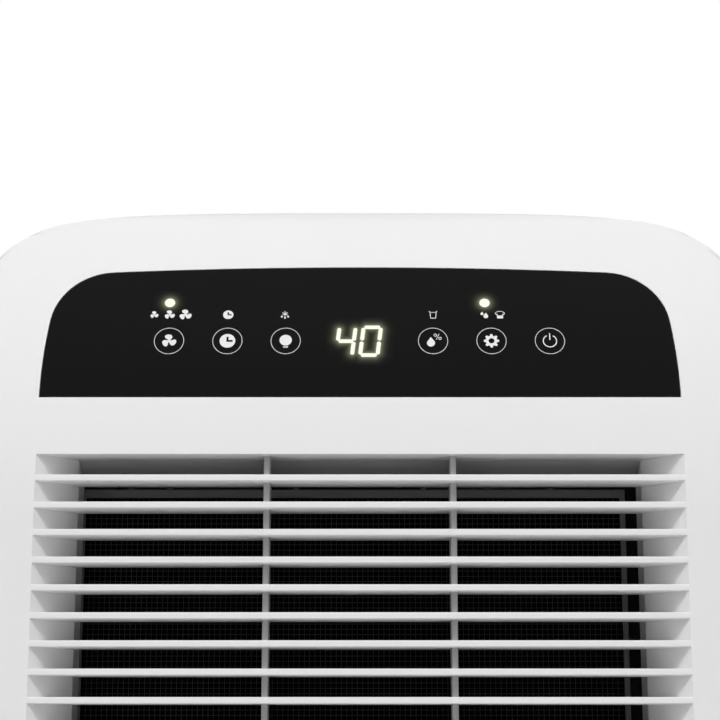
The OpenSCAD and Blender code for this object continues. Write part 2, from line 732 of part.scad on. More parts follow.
module compressor_bolts() color("silver") for (a = feet_angles)
    translate([foot(a)[0], foot(a)[1], pan_top]) union() {
        cylinder(r = 3, h = feet_z + 14);
        translate([0, 0, feet_z + 6]) cylinder(r = 6, h = 1.2);
        translate([0, 0, feet_z + 7.2]) cylinder(r = 5.8, h = 5, $fn = 6);
    }

pipe_level = tray_z + 3;
suction_y = compressor_y + 28;

module suction_pipe() color("#b87333") rod_path([
    [coil_half + 6, evaporator_row, coil_low_z], [pipe_x, evaporator_row, coil_low_z],
    [pipe_x, suction_y, coil_low_z], [pipe_x, suction_y, pipe_level],
    [accumulator[0], suction_y, pipe_level], [accumulator[0], accumulator[1], pipe_level],
    [accumulator[0], accumulator[1], compressor_z + compressor_h - 20]], 4.5);

module discharge_pipe() color("#b87333") rod_path([
    [compressor_x, compressor_y, compressor_z + compressor_h + 4], [compressor_x, compressor_y, pipe_level],
    [-pipe_x, compressor_y, pipe_level], [-pipe_x, compressor_y, coil_top_z],
    [-pipe_x, condenser_rows[1], coil_top_z], [-coil_half - 6, condenser_rows[1], coil_top_z]], 3.5);

drier_x = coil_half + 16;
capillary_z = coil_top + 9;

module capillary_tube() color("#b87333") union() {
    rod_path([[-coil_half - 6, condenser_rows[0], coil_top_z], [-drier_x, condenser_rows[0], coil_top_z],
        [-drier_x, condenser_rows[0], capillary_z], [-drier_x, evaporator_row, capillary_z],
        [drier_x, evaporator_row, capillary_z], [drier_x, evaporator_row, coil_top_z],
        [coil_half + 6, evaporator_row, coil_top_z]], 1.4);
    translate([-drier_x, condenser_rows[0], coil_top_z - 8]) cylinder(r = 7, h = 24);
}

// ---- chassis ----

rail_x = tank_half - 30;

module caster_bosses(r, z0, z1) for (sx = [-1, 1]) for (sy = [-1, 1])
    translate([sx * caster_x, sy * caster_y, z0]) cylinder(r = r, h = z1 - z0);

module base_pan() color("lightgray") difference() {
    union() {
        translate([0, 0, pan_z]) linear_extrude(pan_t) plan_shape(wall + 0.4);
        difference() {
            translate([0, 0, pan_z]) linear_extrude(9) plan_shape(wall + 0.4);
            translate([0, 0, pan_z - 1]) linear_extrude(12) plan_shape(wall + 2.4);
        }
        caster_bosses(9, fork_z + 0.5, pan_top + 1);
        for (s = [-1, 1]) block(s * rail_x - 4, s * rail_x + 4, front_y + 12, tank_back - 4,
            pan_top - 1, tank_z + 2.5);
    }
    caster_bosses(stem_r + run_gap, 0, 100);
}

module tank_bay() color("gainsboro") difference() {
    block(-bay_half - 2, bay_half + 2, front_y + 8.5, tank_back + 5, pan_top, tray_z);
    block(-bay_half, bay_half, front_y, tank_back + 3, pan_top - 1, tray_z + 1);
    for (s = [-1, 1]) translate([s * caster_x, -caster_y, 0]) cylinder(r = 11, h = pan_top + 10);
}

module control_box() color("dimgray") difference() {
    block(box_x, box_x + 90, tank_back + 22, back_y - 14, pan_top, 150);
    block(box_x + 2, box_x + 88, tank_back + 24, back_y - 16, pan_top + 2, 151);
}

module main_board() color("darkgreen") union() {
    block(box_x + 6, box_x + 84, tank_back + 28, back_y - 20, pan_top + 8, pan_top + 9.6);
    block(box_x + 12, box_x + 40, tank_back + 34, tank_back + 60, pan_top + 9, pan_top + 34);
    translate([box_x + 62, tank_back + 50, pan_top + 9]) cylinder(r = 12, h = 40);
    for (i = [0:2]) block(box_x + 14 + 18 * i, box_x + 28 + 18 * i, back_y - 40, back_y - 26,
        pan_top + 9, pan_top + 24);
    for (p = [[10, 32], [78, 32], [10, 84], [78, 84]])
        translate([box_x + p[0], tank_back + p[1], pan_top + 2]) cylinder(r = 3, h = 7);
}

// ---- tank ----

module tank_body() color("#c8d4dc") union() {
    difference() {
        block(-tank_half, tank_half, front_y + 3.5, tank_back, tank_z + 3, tank_rim);
        block(-tank_half + tank_wall, tank_half - tank_wall,
            front_y + 3.5 + tank_wall, tank_back - tank_wall, tank_z + 3 + tank_wall, tank_rim + 1);
    }
    for (s = [-1, 1]) difference() {
        block(float_x + s * 24 - 1.5, float_x + s * 24 + 1.5, float_pivot_y - 5, tank_back - 1,
            float_pivot_z - 5, float_pivot_z + 5);
        rod_x(2.1, float_x + s * 24 - 3, float_x + s * 24 + 3, float_pivot_y, float_pivot_z);
    }
}

module notch_shape() translate([0, tank_top]) polygon(round_rect(notch_w, 36, 8));

window_w = 26;
window_h = 84;
window_z = tank_z + 62;
window_x = 0;

module tank_front() color("white") along_y(front_y, front_y + 3.5) difference() {
    translate([0, tank_z + tank_h / 2]) polygon(round_rect(body_w - 2 * tank_margin, tank_h, 6));
    notch_shape();
    translate([window_x, window_z]) polygon(round_rect(window_w, window_h, window_w / 2 - 0.5));
}

module tank_window() color("#9fb8c8") along_y(front_y + 0.4, front_y + 3.5)
    translate([window_x, window_z])
        polygon(round_rect(window_w - 0.4, window_h - 0.4, window_w / 2 - 0.7));

module tank_lid() color("whitesmoke") difference() {
    union() {
        block(-tank_half - 2, tank_half + 2, front_y + 3.5, tank_back + 1.5, tank_rim, tank_rim + lid_t);
        block(-36, 36, drip_y - 26, drip_y + 26, tank_rim, tank_rim + lid_t + 4);
    }
    block(-33, 33, drip_y - 23, drip_y + 23, tank_rim - 1, tank_rim + lid_t + 5);
}

module tank_float() color("#d8d8d0") union() {
    block(float_x - 20, float_x + 20, float_pivot_y - 44, float_pivot_y - 14,
        float_pivot_z - 26, float_pivot_z - 6);
    for (s = [-1, 1]) block(float_x + s * 17 - 2, float_x + s * 17 + 2,
        float_pivot_y - 22, float_pivot_y + 3, float_pivot_z - 7, float_pivot_z + 3);
    rod_x(2, float_x - 25.5, float_x + 25.5, float_pivot_y, float_pivot_z);
}

module level_switch() color("dimgray")
    block(float_x - 12, float_x + 12, tank_back + 5, tank_back + 12,
        float_pivot_z - 12, float_pivot_z + 8);

module humidity_sensor() color("darkgreen") union() {
    block(pipe_x - 10, pipe_x + 8, filter_y + 12, filter_y + 13.6, grille_top - 50, grille_top - 30);
    block(pipe_x - 5, pipe_x + 3, filter_y + 8, filter_y + 12.5, grille_top - 44, grille_top - 36);
}

// ---- drain and cord gland ----

module drain_spigot() color("gainsboro") difference() {
    union() {
        rod_y(drain_r, tray_back, back_y - pocket_d + 1, drain_x, drain_z);
        rod_y(drain_r - 0.8, tray_back, back_y - 4, drain_x, drain_z);
    }
    rod_y(drain_r - 2.3, tray_back - 1, back_y, drain_x, drain_z);
}

module drain_flap() color("white") union() {
    block(drain_x - pocket / 2 + fit_gap, drain_x + pocket / 2 - fit_gap,
        flap_y - flap_t / 2, flap_y + flap_t / 2 + 0.6, drain_z - pocket / 2 + fit_gap, flap_z + 1);
    rod_x(1.5, drain_x - pocket / 2 - 1.2, drain_x + pocket / 2 + 1.2, flap_y, flap_z);
    block(drain_x - 6, drain_x + 6, flap_y, flap_y + 2,
        drain_z - pocket / 2 + fit_gap, drain_z - pocket / 2 + 4);
}

module cord_gland() color("#202020") difference() {
    union() {
        rod_y(7.9, back_y - 9, back_y - 1, gland_x, gland_z);
        rod_y(10, back_y - 9, back_y - wall - 0.1, gland_x, gland_z);
    }
    rod_y(3.6, back_y - 12, back_y + 2, gland_x, gland_z);
}

// ---- casters ----

module at_caster(sx, sy) translate([sx * caster_x, sy * caster_y, 0]) children();

module caster_fork() color("#2a2c2e") difference() {
    union() {
        translate([0, 0, fork_z - 4]) cylinder(r = 12, h = 4);
        translate([0, 0, fork_z - 1]) cylinder(r = stem_r, h = 16);
        for (s = [-1, 1]) along_x(s * (wheel_w / 2 + 1.6) - 1.2, s * (wheel_w / 2 + 1.6) + 1.2)
            polygon(concat([[-10, fork_z], [-10, fork_z - 5]],
                [for (a = [200:20:340]) [trail + 6 * cos(a), wheel_r + 6 * sin(a)]], [[12, fork_z]]));
        block(-wheel_w / 2 - 2.8, wheel_w / 2 + 2.8, -10, 12, fork_z - 4, fork_z);
    }
    rod_x(axle_r + 0.02, -wheel_w, wheel_w, trail, wheel_r);
}

module caster_wheel() color("#4a4c4e") translate([0, trail, wheel_r]) rotate([0, 90, 0]) rotate_extrude()
    polygon([[axle_r + run_gap, -wheel_w / 2], [8, -wheel_w / 2], [9, -wheel_w / 2 + 1.5],
        [12, -wheel_w / 2 + 1.5], [13, -wheel_w / 2],
        [wheel_r - 1, -wheel_w / 2 + 0.6], [wheel_r, -wheel_w / 2 + 2],
        [wheel_r, wheel_w / 2 - 2], [wheel_r - 1, wheel_w / 2 - 0.6], [13, wheel_w / 2],
        [12, wheel_w / 2 - 1.5], [9, wheel_w / 2 - 1.5], [8, wheel_w / 2],
        [axle_r + run_gap, wheel_w / 2]]);

module caster_axle() color("silver") rod_x(axle_r, -wheel_w / 2 - 4, wheel_w / 2 + 4, trail, wheel_r);

front_shell();
rear_shell();
top_cover();
outlet_frame();
vane_front();
vane_middle();
vane_rear();
vane_link();
swing_motor();
control_panel();
display_board();
digit_display();
status_lamps();
touch_springs();
filter_frame();
filter_mesh();
evaporator_fins();
evaporator_tubes();
condenser_fins();
condenser_tubes();
drip_tray();
scroll_front();
scroll_rear();
impeller();
fan_motor();
motor_shaft();
compressor();
compressor_feet();
compressor_bolts();
suction_pipe();
discharge_pipe();
capillary_tube();
base_pan();
tank_bay();
control_box();
main_board();
tank_body();
tank_front();
tank_window();
tank_lid();
tank_float();
level_switch();
humidity_sensor();
drain_spigot();
drain_flap();
cord_gland();
grips();
shell_screws();
at_caster(-1, -1) caster_fork();  // caster_front_left_fork
at_caster(-1, -1) caster_wheel();  // caster_front_left_wheel
at_caster(-1, -1) caster_axle();  // caster_front_left_axle
at_caster(1, -1) caster_fork();  // caster_front_right_fork
at_caster(1, -1) caster_wheel();  // caster_front_right_wheel
at_caster(1, -1) caster_axle();  // caster_front_right_axle
at_caster(-1, 1) caster_fork();  // caster_rear_left_fork
at_caster(-1, 1) caster_wheel();  // caster_rear_left_wheel
at_caster(-1, 1) caster_axle();  // caster_rear_left_axle
at_caster(1, 1) caster_fork();  // caster_rear_right_fork
at_caster(1, 1) caster_wheel();  // caster_rear_right_wheel
at_caster(1, 1) caster_axle();  // caster_rear_right_axle
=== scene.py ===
import json
import math

import bmesh
import bpy
import numpy as np
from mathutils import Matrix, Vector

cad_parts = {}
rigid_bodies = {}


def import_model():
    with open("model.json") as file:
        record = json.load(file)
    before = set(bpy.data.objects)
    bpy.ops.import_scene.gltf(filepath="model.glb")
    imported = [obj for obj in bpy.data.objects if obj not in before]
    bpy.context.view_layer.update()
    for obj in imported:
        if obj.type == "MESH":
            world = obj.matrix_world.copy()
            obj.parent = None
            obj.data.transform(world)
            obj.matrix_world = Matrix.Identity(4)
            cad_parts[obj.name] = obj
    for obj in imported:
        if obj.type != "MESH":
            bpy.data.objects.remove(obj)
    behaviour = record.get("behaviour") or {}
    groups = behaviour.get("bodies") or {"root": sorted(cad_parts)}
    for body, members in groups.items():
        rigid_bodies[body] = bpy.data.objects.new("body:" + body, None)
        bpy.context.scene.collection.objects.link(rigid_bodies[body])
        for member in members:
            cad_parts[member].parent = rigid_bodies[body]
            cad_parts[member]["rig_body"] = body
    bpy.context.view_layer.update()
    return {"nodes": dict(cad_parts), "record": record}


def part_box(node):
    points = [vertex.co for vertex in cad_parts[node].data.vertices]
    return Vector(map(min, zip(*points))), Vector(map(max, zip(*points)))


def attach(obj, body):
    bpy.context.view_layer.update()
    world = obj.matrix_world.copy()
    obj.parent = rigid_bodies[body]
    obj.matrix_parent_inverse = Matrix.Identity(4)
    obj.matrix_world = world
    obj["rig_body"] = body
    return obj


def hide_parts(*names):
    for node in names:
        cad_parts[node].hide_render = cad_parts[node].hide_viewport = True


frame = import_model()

# ---- Camera ----
# A long lens stands low in front of the unit and is tilted up at the control panel and the top of the
# grille. Its distance is measured from the front plane of the case, and colours are shown without a film
# curve.
front_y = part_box("front_shell")[0].y
camera_gap = 0.850
camera_height = 0.2306
camera_tilt = 11.88
camera_data = bpy.data.cameras.new("camera")
camera_data.sensor_width = 36
camera_data.lens = 93.5
camera_data.clip_start = 0.05
camera = bpy.data.objects.new("camera", camera_data)
camera.location = (0, front_y - camera_gap, camera_height)
camera.rotation_euler = (math.radians(90 + camera_tilt), 0, 0)
bpy.context.scene.collection.objects.link(camera)
bpy.context.scene.camera = camera
bpy.context.scene.view_settings.view_transform = "Standard"

# ---- Studio ----
# A pale painted floor, and a white surround that lights the unit more from above than from below. One
# soft box hangs over the unit's front, one stands at each side of it, and one stands behind.
floor_half = 6.0
floor_corners = [(x * floor_half, y * floor_half, 0) for x, y in ((-1, -1), (1, -1), (1, 1), (-1, 1))]
floor_mesh = bpy.data.meshes.new("studio_floor")
floor_mesh.from_pydata(floor_corners, [], [(0, 1, 2, 3)])
floor = bpy.data.objects.new("studio_floor", floor_mesh)
bpy.context.scene.collection.objects.link(floor)
floor_paint = bpy.data.materials.new("studio_floor_paint")
floor_paint.use_nodes = True
floor_shader = floor_paint.node_tree.nodes["Principled BSDF"]
floor_shader.inputs["Base Color"].default_value = (0.70, 0.70, 0.70, 1)
floor_shader.inputs["Roughness"].default_value = 0.6
floor.data.materials.append(floor_paint)

world = bpy.data.worlds.new("studio")
bpy.context.scene.world = world
world.use_nodes = True
sky = world.node_tree
sky.nodes.clear()
output = sky.nodes.new("ShaderNodeOutputWorld")
lighting = sky.nodes.new("ShaderNodeBackground")
backdrop = sky.nodes.new("ShaderNodeBackground")
pick = sky.nodes.new("ShaderNodeMixShader")
path = sky.nodes.new("ShaderNodeLightPath")
direction = sky.nodes.new("ShaderNodeTexCoord")
split = sky.nodes.new("ShaderNodeSeparateXYZ")
ramp = sky.nodes.new("ShaderNodeMapRange")
backdrop.inputs["Color"].default_value = (1, 1, 1, 1)
backdrop.inputs["Strength"].default_value = 1.0
ramp.inputs["From Min"].default_value = -0.5
ramp.inputs["From Max"].default_value = 0.9
ramp.inputs["To Min"].default_value = 0.12
ramp.inputs["To Max"].default_value = 0.58
sky.links.new(direction.outputs["Generated"], split.inputs[0])
sky.links.new(split.outputs["Z"], ramp.inputs["Value"])
sky.links.new(ramp.outputs["Result"], lighting.inputs["Strength"])
sky.links.new(path.outputs["Is Camera Ray"], pick.inputs["Fac"])
sky.links.new(lighting.outputs[0], pick.inputs[1])
sky.links.new(backdrop.outputs[0], pick.inputs[2])
sky.links.new(pick.outputs[0], output.inputs["Surface"])


def soft_box(name, place, aim, width, height, watts):
    """A rectangular lamp at place, turned so that it shines at aim. It isn't mirrored in glossy
    surfaces."""
    data = bpy.data.lights.new(name, "AREA")
    data.shape = "RECTANGLE"
    data.size = width
    data.size_y = height
    data.energy = watts
    lamp = bpy.data.objects.new(name, data)
    lamp.location = place
    back = np.array(place, float) - np.array(aim, float)
    turn = math.atan2(back[1], back[0]) + math.pi / 2
    lamp.rotation_euler = (math.acos(back[2] / np.linalg.norm(back)), 0, turn)
    lamp.visible_glossy = False
    bpy.context.scene.collection.objects.link(lamp)


soft_box("key_above", (-0.15, -1.9, 2.55), (0, -0.1, 0.4), 0.7, 0.5, 46)
soft_box("side_left", (-2.2, -1.5, 1.3), (0, 0, 0.3), 1.2, 1.2, 9.5)
soft_box("side_right", (2.2, -1.4, 1.3), (0, 0, 0.3), 1.2, 1.2, 8)
soft_box("behind", (0.4, 2.6, 1.8), (0, 0, 0.3), 2.0, 1.4, 26)

# ---- Base pan and chassis ----
# The tray that carries the whole machine, pressed from galvanised steel sheet with its rim turned up. The
# casters' stems go up into it, and the compressor and the tank bay are fixed on it.

slots = {part["node"]: part["material_slot"] for part in frame["record"]["subparts"]}


def links_of(material):
    """The material's node tree, its shader and its Object coordinates."""
    tree = material.node_tree
    place = tree.nodes.new("ShaderNodeTexCoord")
    return tree, tree.nodes["Principled BSDF"], place.outputs["Object"]


def noise_of(tree, place, scale, detail):
    """Noise on Object coordinates, with scale in turns per metre."""
    noise = tree.nodes.new("ShaderNodeTexNoise")
    noise.inputs["Scale"].default_value = scale
    noise.inputs["Detail"].default_value = detail
    tree.links.new(place, noise.inputs["Vector"])
    return noise.outputs["Fac"]


def blend_range(tree, factor, low, high):
    """Spreads the middle of a 0 to 1 factor from low to high."""
    spread = tree.nodes.new("ShaderNodeMapRange")
    spread.inputs["From Min"].default_value = 0.3
    spread.inputs["From Max"].default_value = 0.7
    spread.inputs["To Min"].default_value = low
    spread.inputs["To Max"].default_value = high
    tree.links.new(factor, spread.inputs["Value"])
    return spread.outputs["Result"]


def tinted(tree, factor, low, high):
    """A colour between low and high."""
    mix = tree.nodes.new("ShaderNodeMix")
    mix.data_type = "RGBA"
    mix.inputs["A"].default_value = (*low, 1)
    mix.inputs["B"].default_value = (*high, 1)
    tree.links.new(factor, mix.inputs["Factor"])
    return mix.outputs["Result"]


def finish(name, colour, rough, metal=0.0, variation=0.03, grain=900.0, relief=0.00002, spread=0.05,
           **sockets):
    """A surface whose colour drifts by the variation either way. Fine noise of grain turns per metre
    moves its roughness by the spread either way and lifts its relief, in metres. Other sockets are set
    by name."""
    material = bpy.data.materials.new(name)
    material.use_nodes = True
    tree, shader, place = links_of(material)
    drift = noise_of(tree, place, 14.0, 2.0)
    low = tuple(c * (1 - variation) for c in colour)
    high = tuple(min(1.0, c * (1 + variation)) for c in colour)
    tree.links.new(tinted(tree, drift, low, high), shader.inputs["Base Color"])
    fine = noise_of(tree, place, grain, 3.0)
    tree.links.new(blend_range(tree, fine, rough - spread, rough + spread), shader.inputs["Roughness"])
    bump = tree.nodes.new("ShaderNodeBump")
    bump.inputs["Distance"].default_value = relief
    bump.inputs["Strength"].default_value = 0.6
    tree.links.new(fine, bump.inputs["Height"])
    tree.links.new(bump.outputs["Normal"], shader.inputs["Normal"])
    shader.inputs["Metallic"].default_value = metal
    for socket, value in sockets.items():
        shader.inputs[socket.replace("_", " ")].default_value = value
    return material


def show(piece, body, slot, *nodes):
    """The piece rides on its body and stands for those CAD nodes. The slot is not used."""
    if piece.name not in bpy.context.scene.collection.objects:
        bpy.context.scene.collection.objects.link(piece)
    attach(piece, body)
    if nodes:
        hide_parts(*nodes)
    return piece


def shade_smooth(mesh, crease):
    """Shades the mesh smooth, but for its edges that turn by more than the crease in degrees."""
    mesh.polygons.foreach_set("use_smooth", np.ones(len(mesh.polygons), bool))
    mesh.set_sharp_from_angle(angle=math.radians(crease))


def dress(node, material, edge):
    """A copy of a CAD node: its triangles are joined, its flats are made whole and its edges are broken
    by the given width."""
    name = node + "_form"
    source = frame["nodes"][node]
    form = bmesh.new()
    form.from_mesh(source.data)
    bmesh.ops.remove_doubles(form, verts=form.verts, dist=1e-6)
    bmesh.ops.dissolve_limit(form, angle_limit=math.radians(0.2), verts=form.verts, edges=form.edges)
    mesh = bpy.data.meshes.new(name)
    form.to_mesh(mesh)
    form.free()
    mesh.materials.clear()
    mesh.materials.append(material)
    shade_smooth(mesh, 30)
    piece = bpy.data.objects.new(name, mesh)
    if edge:
        bevel = piece.modifiers.new("broken_edges", "BEVEL")
        bevel.width = edge
        bevel.segments = 2
        bevel.limit_method = "ANGLE"
        bevel.angle_limit = math.radians(35)
        bevel.harden_normals = True
        bevel.use_clamp_overlap = True
    return show(piece, source["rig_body"], slots[node], node)


galvanised = finish("galvanised_steel", (0.56, 0.58, 0.60), 0.42, metal=0.7, variation=0.10, grain=120.0,
                    relief=0.00001)
dress("base_pan", galvanised, 0.0006)

# ---- Casters ----
# Four swivel casters. Each is a moulded nylon fork whose stem is pushed up into the pan, a dark wheel
# with a grooved tyre, and a plated steel axle pressed through the fork.
nylon = finish("caster_nylon", (0.045, 0.047, 0.050), 0.45, variation=0.08, grain=700.0, relief=0.00003)
tyre = finish("caster_tyre", (0.07, 0.072, 0.075), 0.62, variation=0.10, grain=500.0, relief=0.00004)
axle_steel = finish("zinc_plated_steel", (0.62, 0.62, 0.61), 0.30, metal=1.0, variation=0.06,
                    relief=0.000006)


def turned_outward(mesh):
    """Turns the faces of a closed mesh so that they all look outward."""
    form = bmesh.new()
    form.from_mesh(mesh)
    bmesh.ops.recalc_face_normals(form, faces=form.faces)
    form.to_mesh(mesh)
    form.free()


def lathe(name, profile, centre, axis, steps, material):
    """A closed profile of (radius, place along the axis) points turned about the axis through centre.
    A point is centre + radius (cos t side + sin t up) + place axis, with side and up square to the
    axis."""
    profile = np.array(profile, float)
    turn = np.linspace(0, 2 * math.pi, steps, endpoint=False)
    along = np.array(axis, float)
    side = np.cross(along, (0, 0, 1) if abs(along[2]) < 0.5 else (1, 0, 0))
    side /= np.linalg.norm(side)
    up = np.cross(along, side)
    ring = np.cos(turn)[:, None] * side + np.sin(turn)[:, None] * up
    points = centre + profile[None, :, :1] * ring[:, None, :] + profile[None, :, 1:] * along
    count = len(profile)
    i, j = np.meshgrid(np.arange(steps), np.arange(count), indexing="ij")
    a, b = i, (i + 1) % steps
    c, d = j, (j + 1) % count
    faces = np.stack([a * count + c, b * count + c, b * count + d, a * count + d], -1).reshape(-1, 4)
    mesh = bpy.data.meshes.new(name)
    mesh.from_pydata(points.reshape(-1, 3).tolist(), [], faces.tolist())
    turned_outward(mesh)
    mesh.materials.append(material)
    shade_smooth(mesh, 35)
    return bpy.data.objects.new(name, mesh)


def wheel_profile(r, bore, half):
    """The wheel's half section: hub, dished web, and a tyre with two grooves. The tread's radius falls
    from the middle by 1.2 mm times the fourth power of the way to its shoulder."""
    groove = 0.0008
    tread = []
    for t in np.linspace(-1, 1, 25):
        tread_r = r - 0.0012 * abs(t) ** 4 - (groove if 0.28 < abs(t) < 0.40 else 0)
        tread.append((tread_r, t * (half - 0.0006)))
    shoulder = [(r - 0.0022, half), (r - 0.0036, half - 0.0004)]
    web = [(0.0100, half - 0.0024), (0.0078, half - 0.0024)]
    hub = [(0.0070, half - 0.0004), (0.0066, half), (bore, half)]
    right = shoulder + web + hub
    return tread + right + [(p, -x) for p, x in reversed(right)]


wheel_bore = 0.00306
for corner in ("front_left", "front_right", "rear_left", "rear_right"):
    wheel_node = "caster_%s_wheel" % corner
    low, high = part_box(wheel_node)
    middle = np.array((low + high) / 2)
    radius = (high.z - low.z) / 2
    form = wheel_profile(radius, wheel_bore, (high.x - low.x) / 2)
    wheel = lathe("caster_%s_tyred_wheel" % corner, form, middle, (1, 0, 0), 64, tyre)
    show(wheel, "caster_%s_roller" % corner, slots[wheel_node], wheel_node)
    dress("caster_%s_fork" % corner, nylon, 0.0005)
    dress("caster_%s_axle" % corner, axle_steel, 0.0003)

# ---- Compressor ----
# A rotary compressor: two drawn steel cans welded together at a seam and enamelled black. It stands on
# three rubber feet, held down to the pan by plated bolts.
enamel = finish("black_enamel", (0.012, 0.012, 0.013), 0.28, variation=0.15, grain=160.0, relief=0.00003,
                spread=0.06)
rubber = finish("black_rubber", (0.02, 0.02, 0.02), 0.70, variation=0.10, grain=600.0, relief=0.00004)
dress("compressor", enamel, 0.0006)
dress("compressor_feet", rubber, 0.0006)
dress("compressor_bolts", axle_steel, 0.0003)

# ---- Coils ----
# Thin aluminium foils pressed on to hairpins of copper tube: the evaporator's are coated blue against the
# wet, the condenser's are bare. The gas pipes are drawn copper too, brazed on to the compressor and the
# coils.
copper = finish("drawn_copper", (0.72, 0.36, 0.21), 0.28, metal=1.0, variation=0.12, grain=90.0,
                relief=0.00001, spread=0.08)
coated_foil = finish("blue_coated_foil", (0.20, 0.42, 0.62), 0.34, metal=0.6, variation=0.06, grain=500.0,
                     relief=0.00001)
bare_foil = finish("bare_foil", (0.74, 0.75, 0.76), 0.30, metal=1.0, variation=0.06, grain=500.0,
                   relief=0.00001)


def plain_boxes(name, boxes, material):
    """One mesh of many boxes, from an array of (low corner, high corner): each of the eight corners of
    a box takes its x, y and z from the low or the high one."""
    foot = [[0, 0, 0], [1, 0, 0], [1, 1, 0], [0, 1, 0]]
    corner = np.array(foot + [[x, y, 1] for x, y, z in foot])
    quad = np.array([[0, 3, 2, 1], [4, 5, 6, 7], [0, 1, 5, 4], [1, 2, 6, 5], [2, 3, 7, 6], [3, 0, 4, 7]])
    points = boxes[:, corner, np.arange(3)]
    faces = np.arange(len(boxes))[:, None, None] * 8 + quad
    mesh = bpy.data.meshes.new(name)
    mesh.from_pydata(points.reshape(-1, 3).tolist(), [], faces.reshape(-1, 4).tolist())
    mesh.materials.append(material)
    return bpy.data.objects.new(name, mesh)


def foils(name, node, pitch, material):
    """Thin upright plates that fill the node's box from side to side, about the pitch apart."""
    low, high = (np.array(v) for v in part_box(node))
    thick = 0.00035
    count = int((high[0] - low[0]) / pitch)
    middle = np.linspace(low[0] + thick, high[0] - thick, count)
    plates = np.tile(np.array([low, high]), (count, 1, 1))
    plates[:, 0, 0] = middle - thick / 2
    plates[:, 1, 0] = middle + thick / 2
    return plain_boxes(name, plates, material)


evaporator_foils = foils("evaporator_foils", "evaporator_fins", 0.0017, coated_foil)
show(evaporator_foils, "cabinet", "fin_coated", "evaporator_fins")
condenser_foils = foils("condenser_foils", "condenser_fins", 0.0016, bare_foil)
show(condenser_foils, "cabinet", "fin_bare", "condenser_fins")
for node in ("evaporator_tubes", "condenser_tubes", "suction_pipe", "discharge_pipe", "capillary_tube"):
    dress(node, copper, 0)

# ---- Tray, fan and casing ----
# White mouldings: the drip tray under the evaporator, the two halves of the fan's casing, the bay for the
# tank and the drain spigot. The dark squirrel-cage wheel is pressed on to the steel shaft of a painted
# motor.
inner_plastic = finish("inner_white_plastic", (0.74, 0.74, 0.73), 0.46, grain=700.0)
fan_plastic = finish("dark_fan_plastic", (0.03, 0.031, 0.034), 0.42, variation=0.08, grain=700.0)
motor_paint = finish("motor_grey_paint", (0.30, 0.31, 0.32), 0.38, metal=0.2, variation=0.06, grain=300.0)
for node in ("drip_tray", "scroll_front", "scroll_rear", "tank_bay", "drain_spigot"):
    dress(node, inner_plastic, 0.0004)
dress("impeller", fan_plastic, 0)
dress("fan_motor", motor_paint, 0.0008)
dress("motor_shaft", axle_steel, 0.0003)

# ---- Electrical pieces ----
# The black control box holds the main board, and the level switch sits by the tank. The display board,
# with its digits, its lamps and a steel spring under each touch key, stands behind the panel.
box_plastic = finish("black_box_plastic", (0.035, 0.035, 0.037), 0.50, variation=0.06, grain=600.0,
                     relief=0.00003)
solder_mask = finish("green_solder_mask", (0.012, 0.13, 0.045), 0.32, variation=0.20, grain=260.0,
                     relief=0.00001)
lens = finish("lamp_lens", (0.86, 0.86, 0.80), 0.22, variation=0.04, grain=500.0, relief=0.00001)
display_case = finish("display_case", (0.05, 0.05, 0.055), 0.30, variation=0.05, grain=500.0,
                      relief=0.00001)
spring_wire = finish("spring_steel", (0.60, 0.58, 0.52), 0.28, metal=1.0, variation=0.08, grain=500.0,
                     relief=0.00001)
dress("control_box", box_plastic, 0.0006)
dress("level_switch", box_plastic, 0.0006)
dress("main_board", solder_mask, 0.0003)
dress("humidity_sensor", solder_mask, 0.0002)
dress("display_board", solder_mask, 0.0002)
dress("digit_display", display_case, 0.0003)
dress("status_lamps", lens, 0.0002)
dress("touch_springs", spring_wire, 0)

# ---- Filter ----
# A dark moulded frame with a black nylon mesh across it, slid in from the left side in front of the
# evaporator. The mesh is a thin sheet with crossing threads raised on both its faces.
filter_plastic = finish("filter_grey_plastic", (0.135, 0.135, 0.137), 0.48, variation=0.05, grain=700.0)
mesh_yarn = finish("black_nylon_mesh", (0.0006, 0.0006, 0.0006), 0.8, variation=0.10, relief=0.00001,
                   Specular_IOR_Level=0.05)
thread_nylon = finish("nylon_thread", (0.006, 0.006, 0.0062), 0.5, variation=0.10, relief=0.0)
dress("filter_frame", filter_plastic, 0.0004)
dress("filter_mesh", mesh_yarn, 0)


def threads(name, node, pitch, thick, material):
    """Crossing threads of square section, the pitch apart, laid along both faces of the node's box."""
    low, high = (np.array(v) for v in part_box(node))
    bars = []
    for across in (0, 2):
        along = 2 - across
        for at in np.arange(low[across] + pitch, high[across] - pitch / 2, pitch):
            for y in (low[1], high[1]):
                bar = np.array([low, high])
                bar[:, 1] = y - thick / 2, y + thick / 2
                bar[:, across] = at - thick / 2, at + thick / 2
                bar[:, along] = low[along] + thick, high[along] - thick
                bars.append(bar)
    return plain_boxes(name, np.array(bars), material)


thread_pitch = 0.0025
thread_thick = 0.0003
filter_threads = threads("filter_threads", "filter_mesh", thread_pitch, thread_thick, thread_nylon)
show(filter_threads, "filter", slots["filter_mesh"], "filter_mesh")

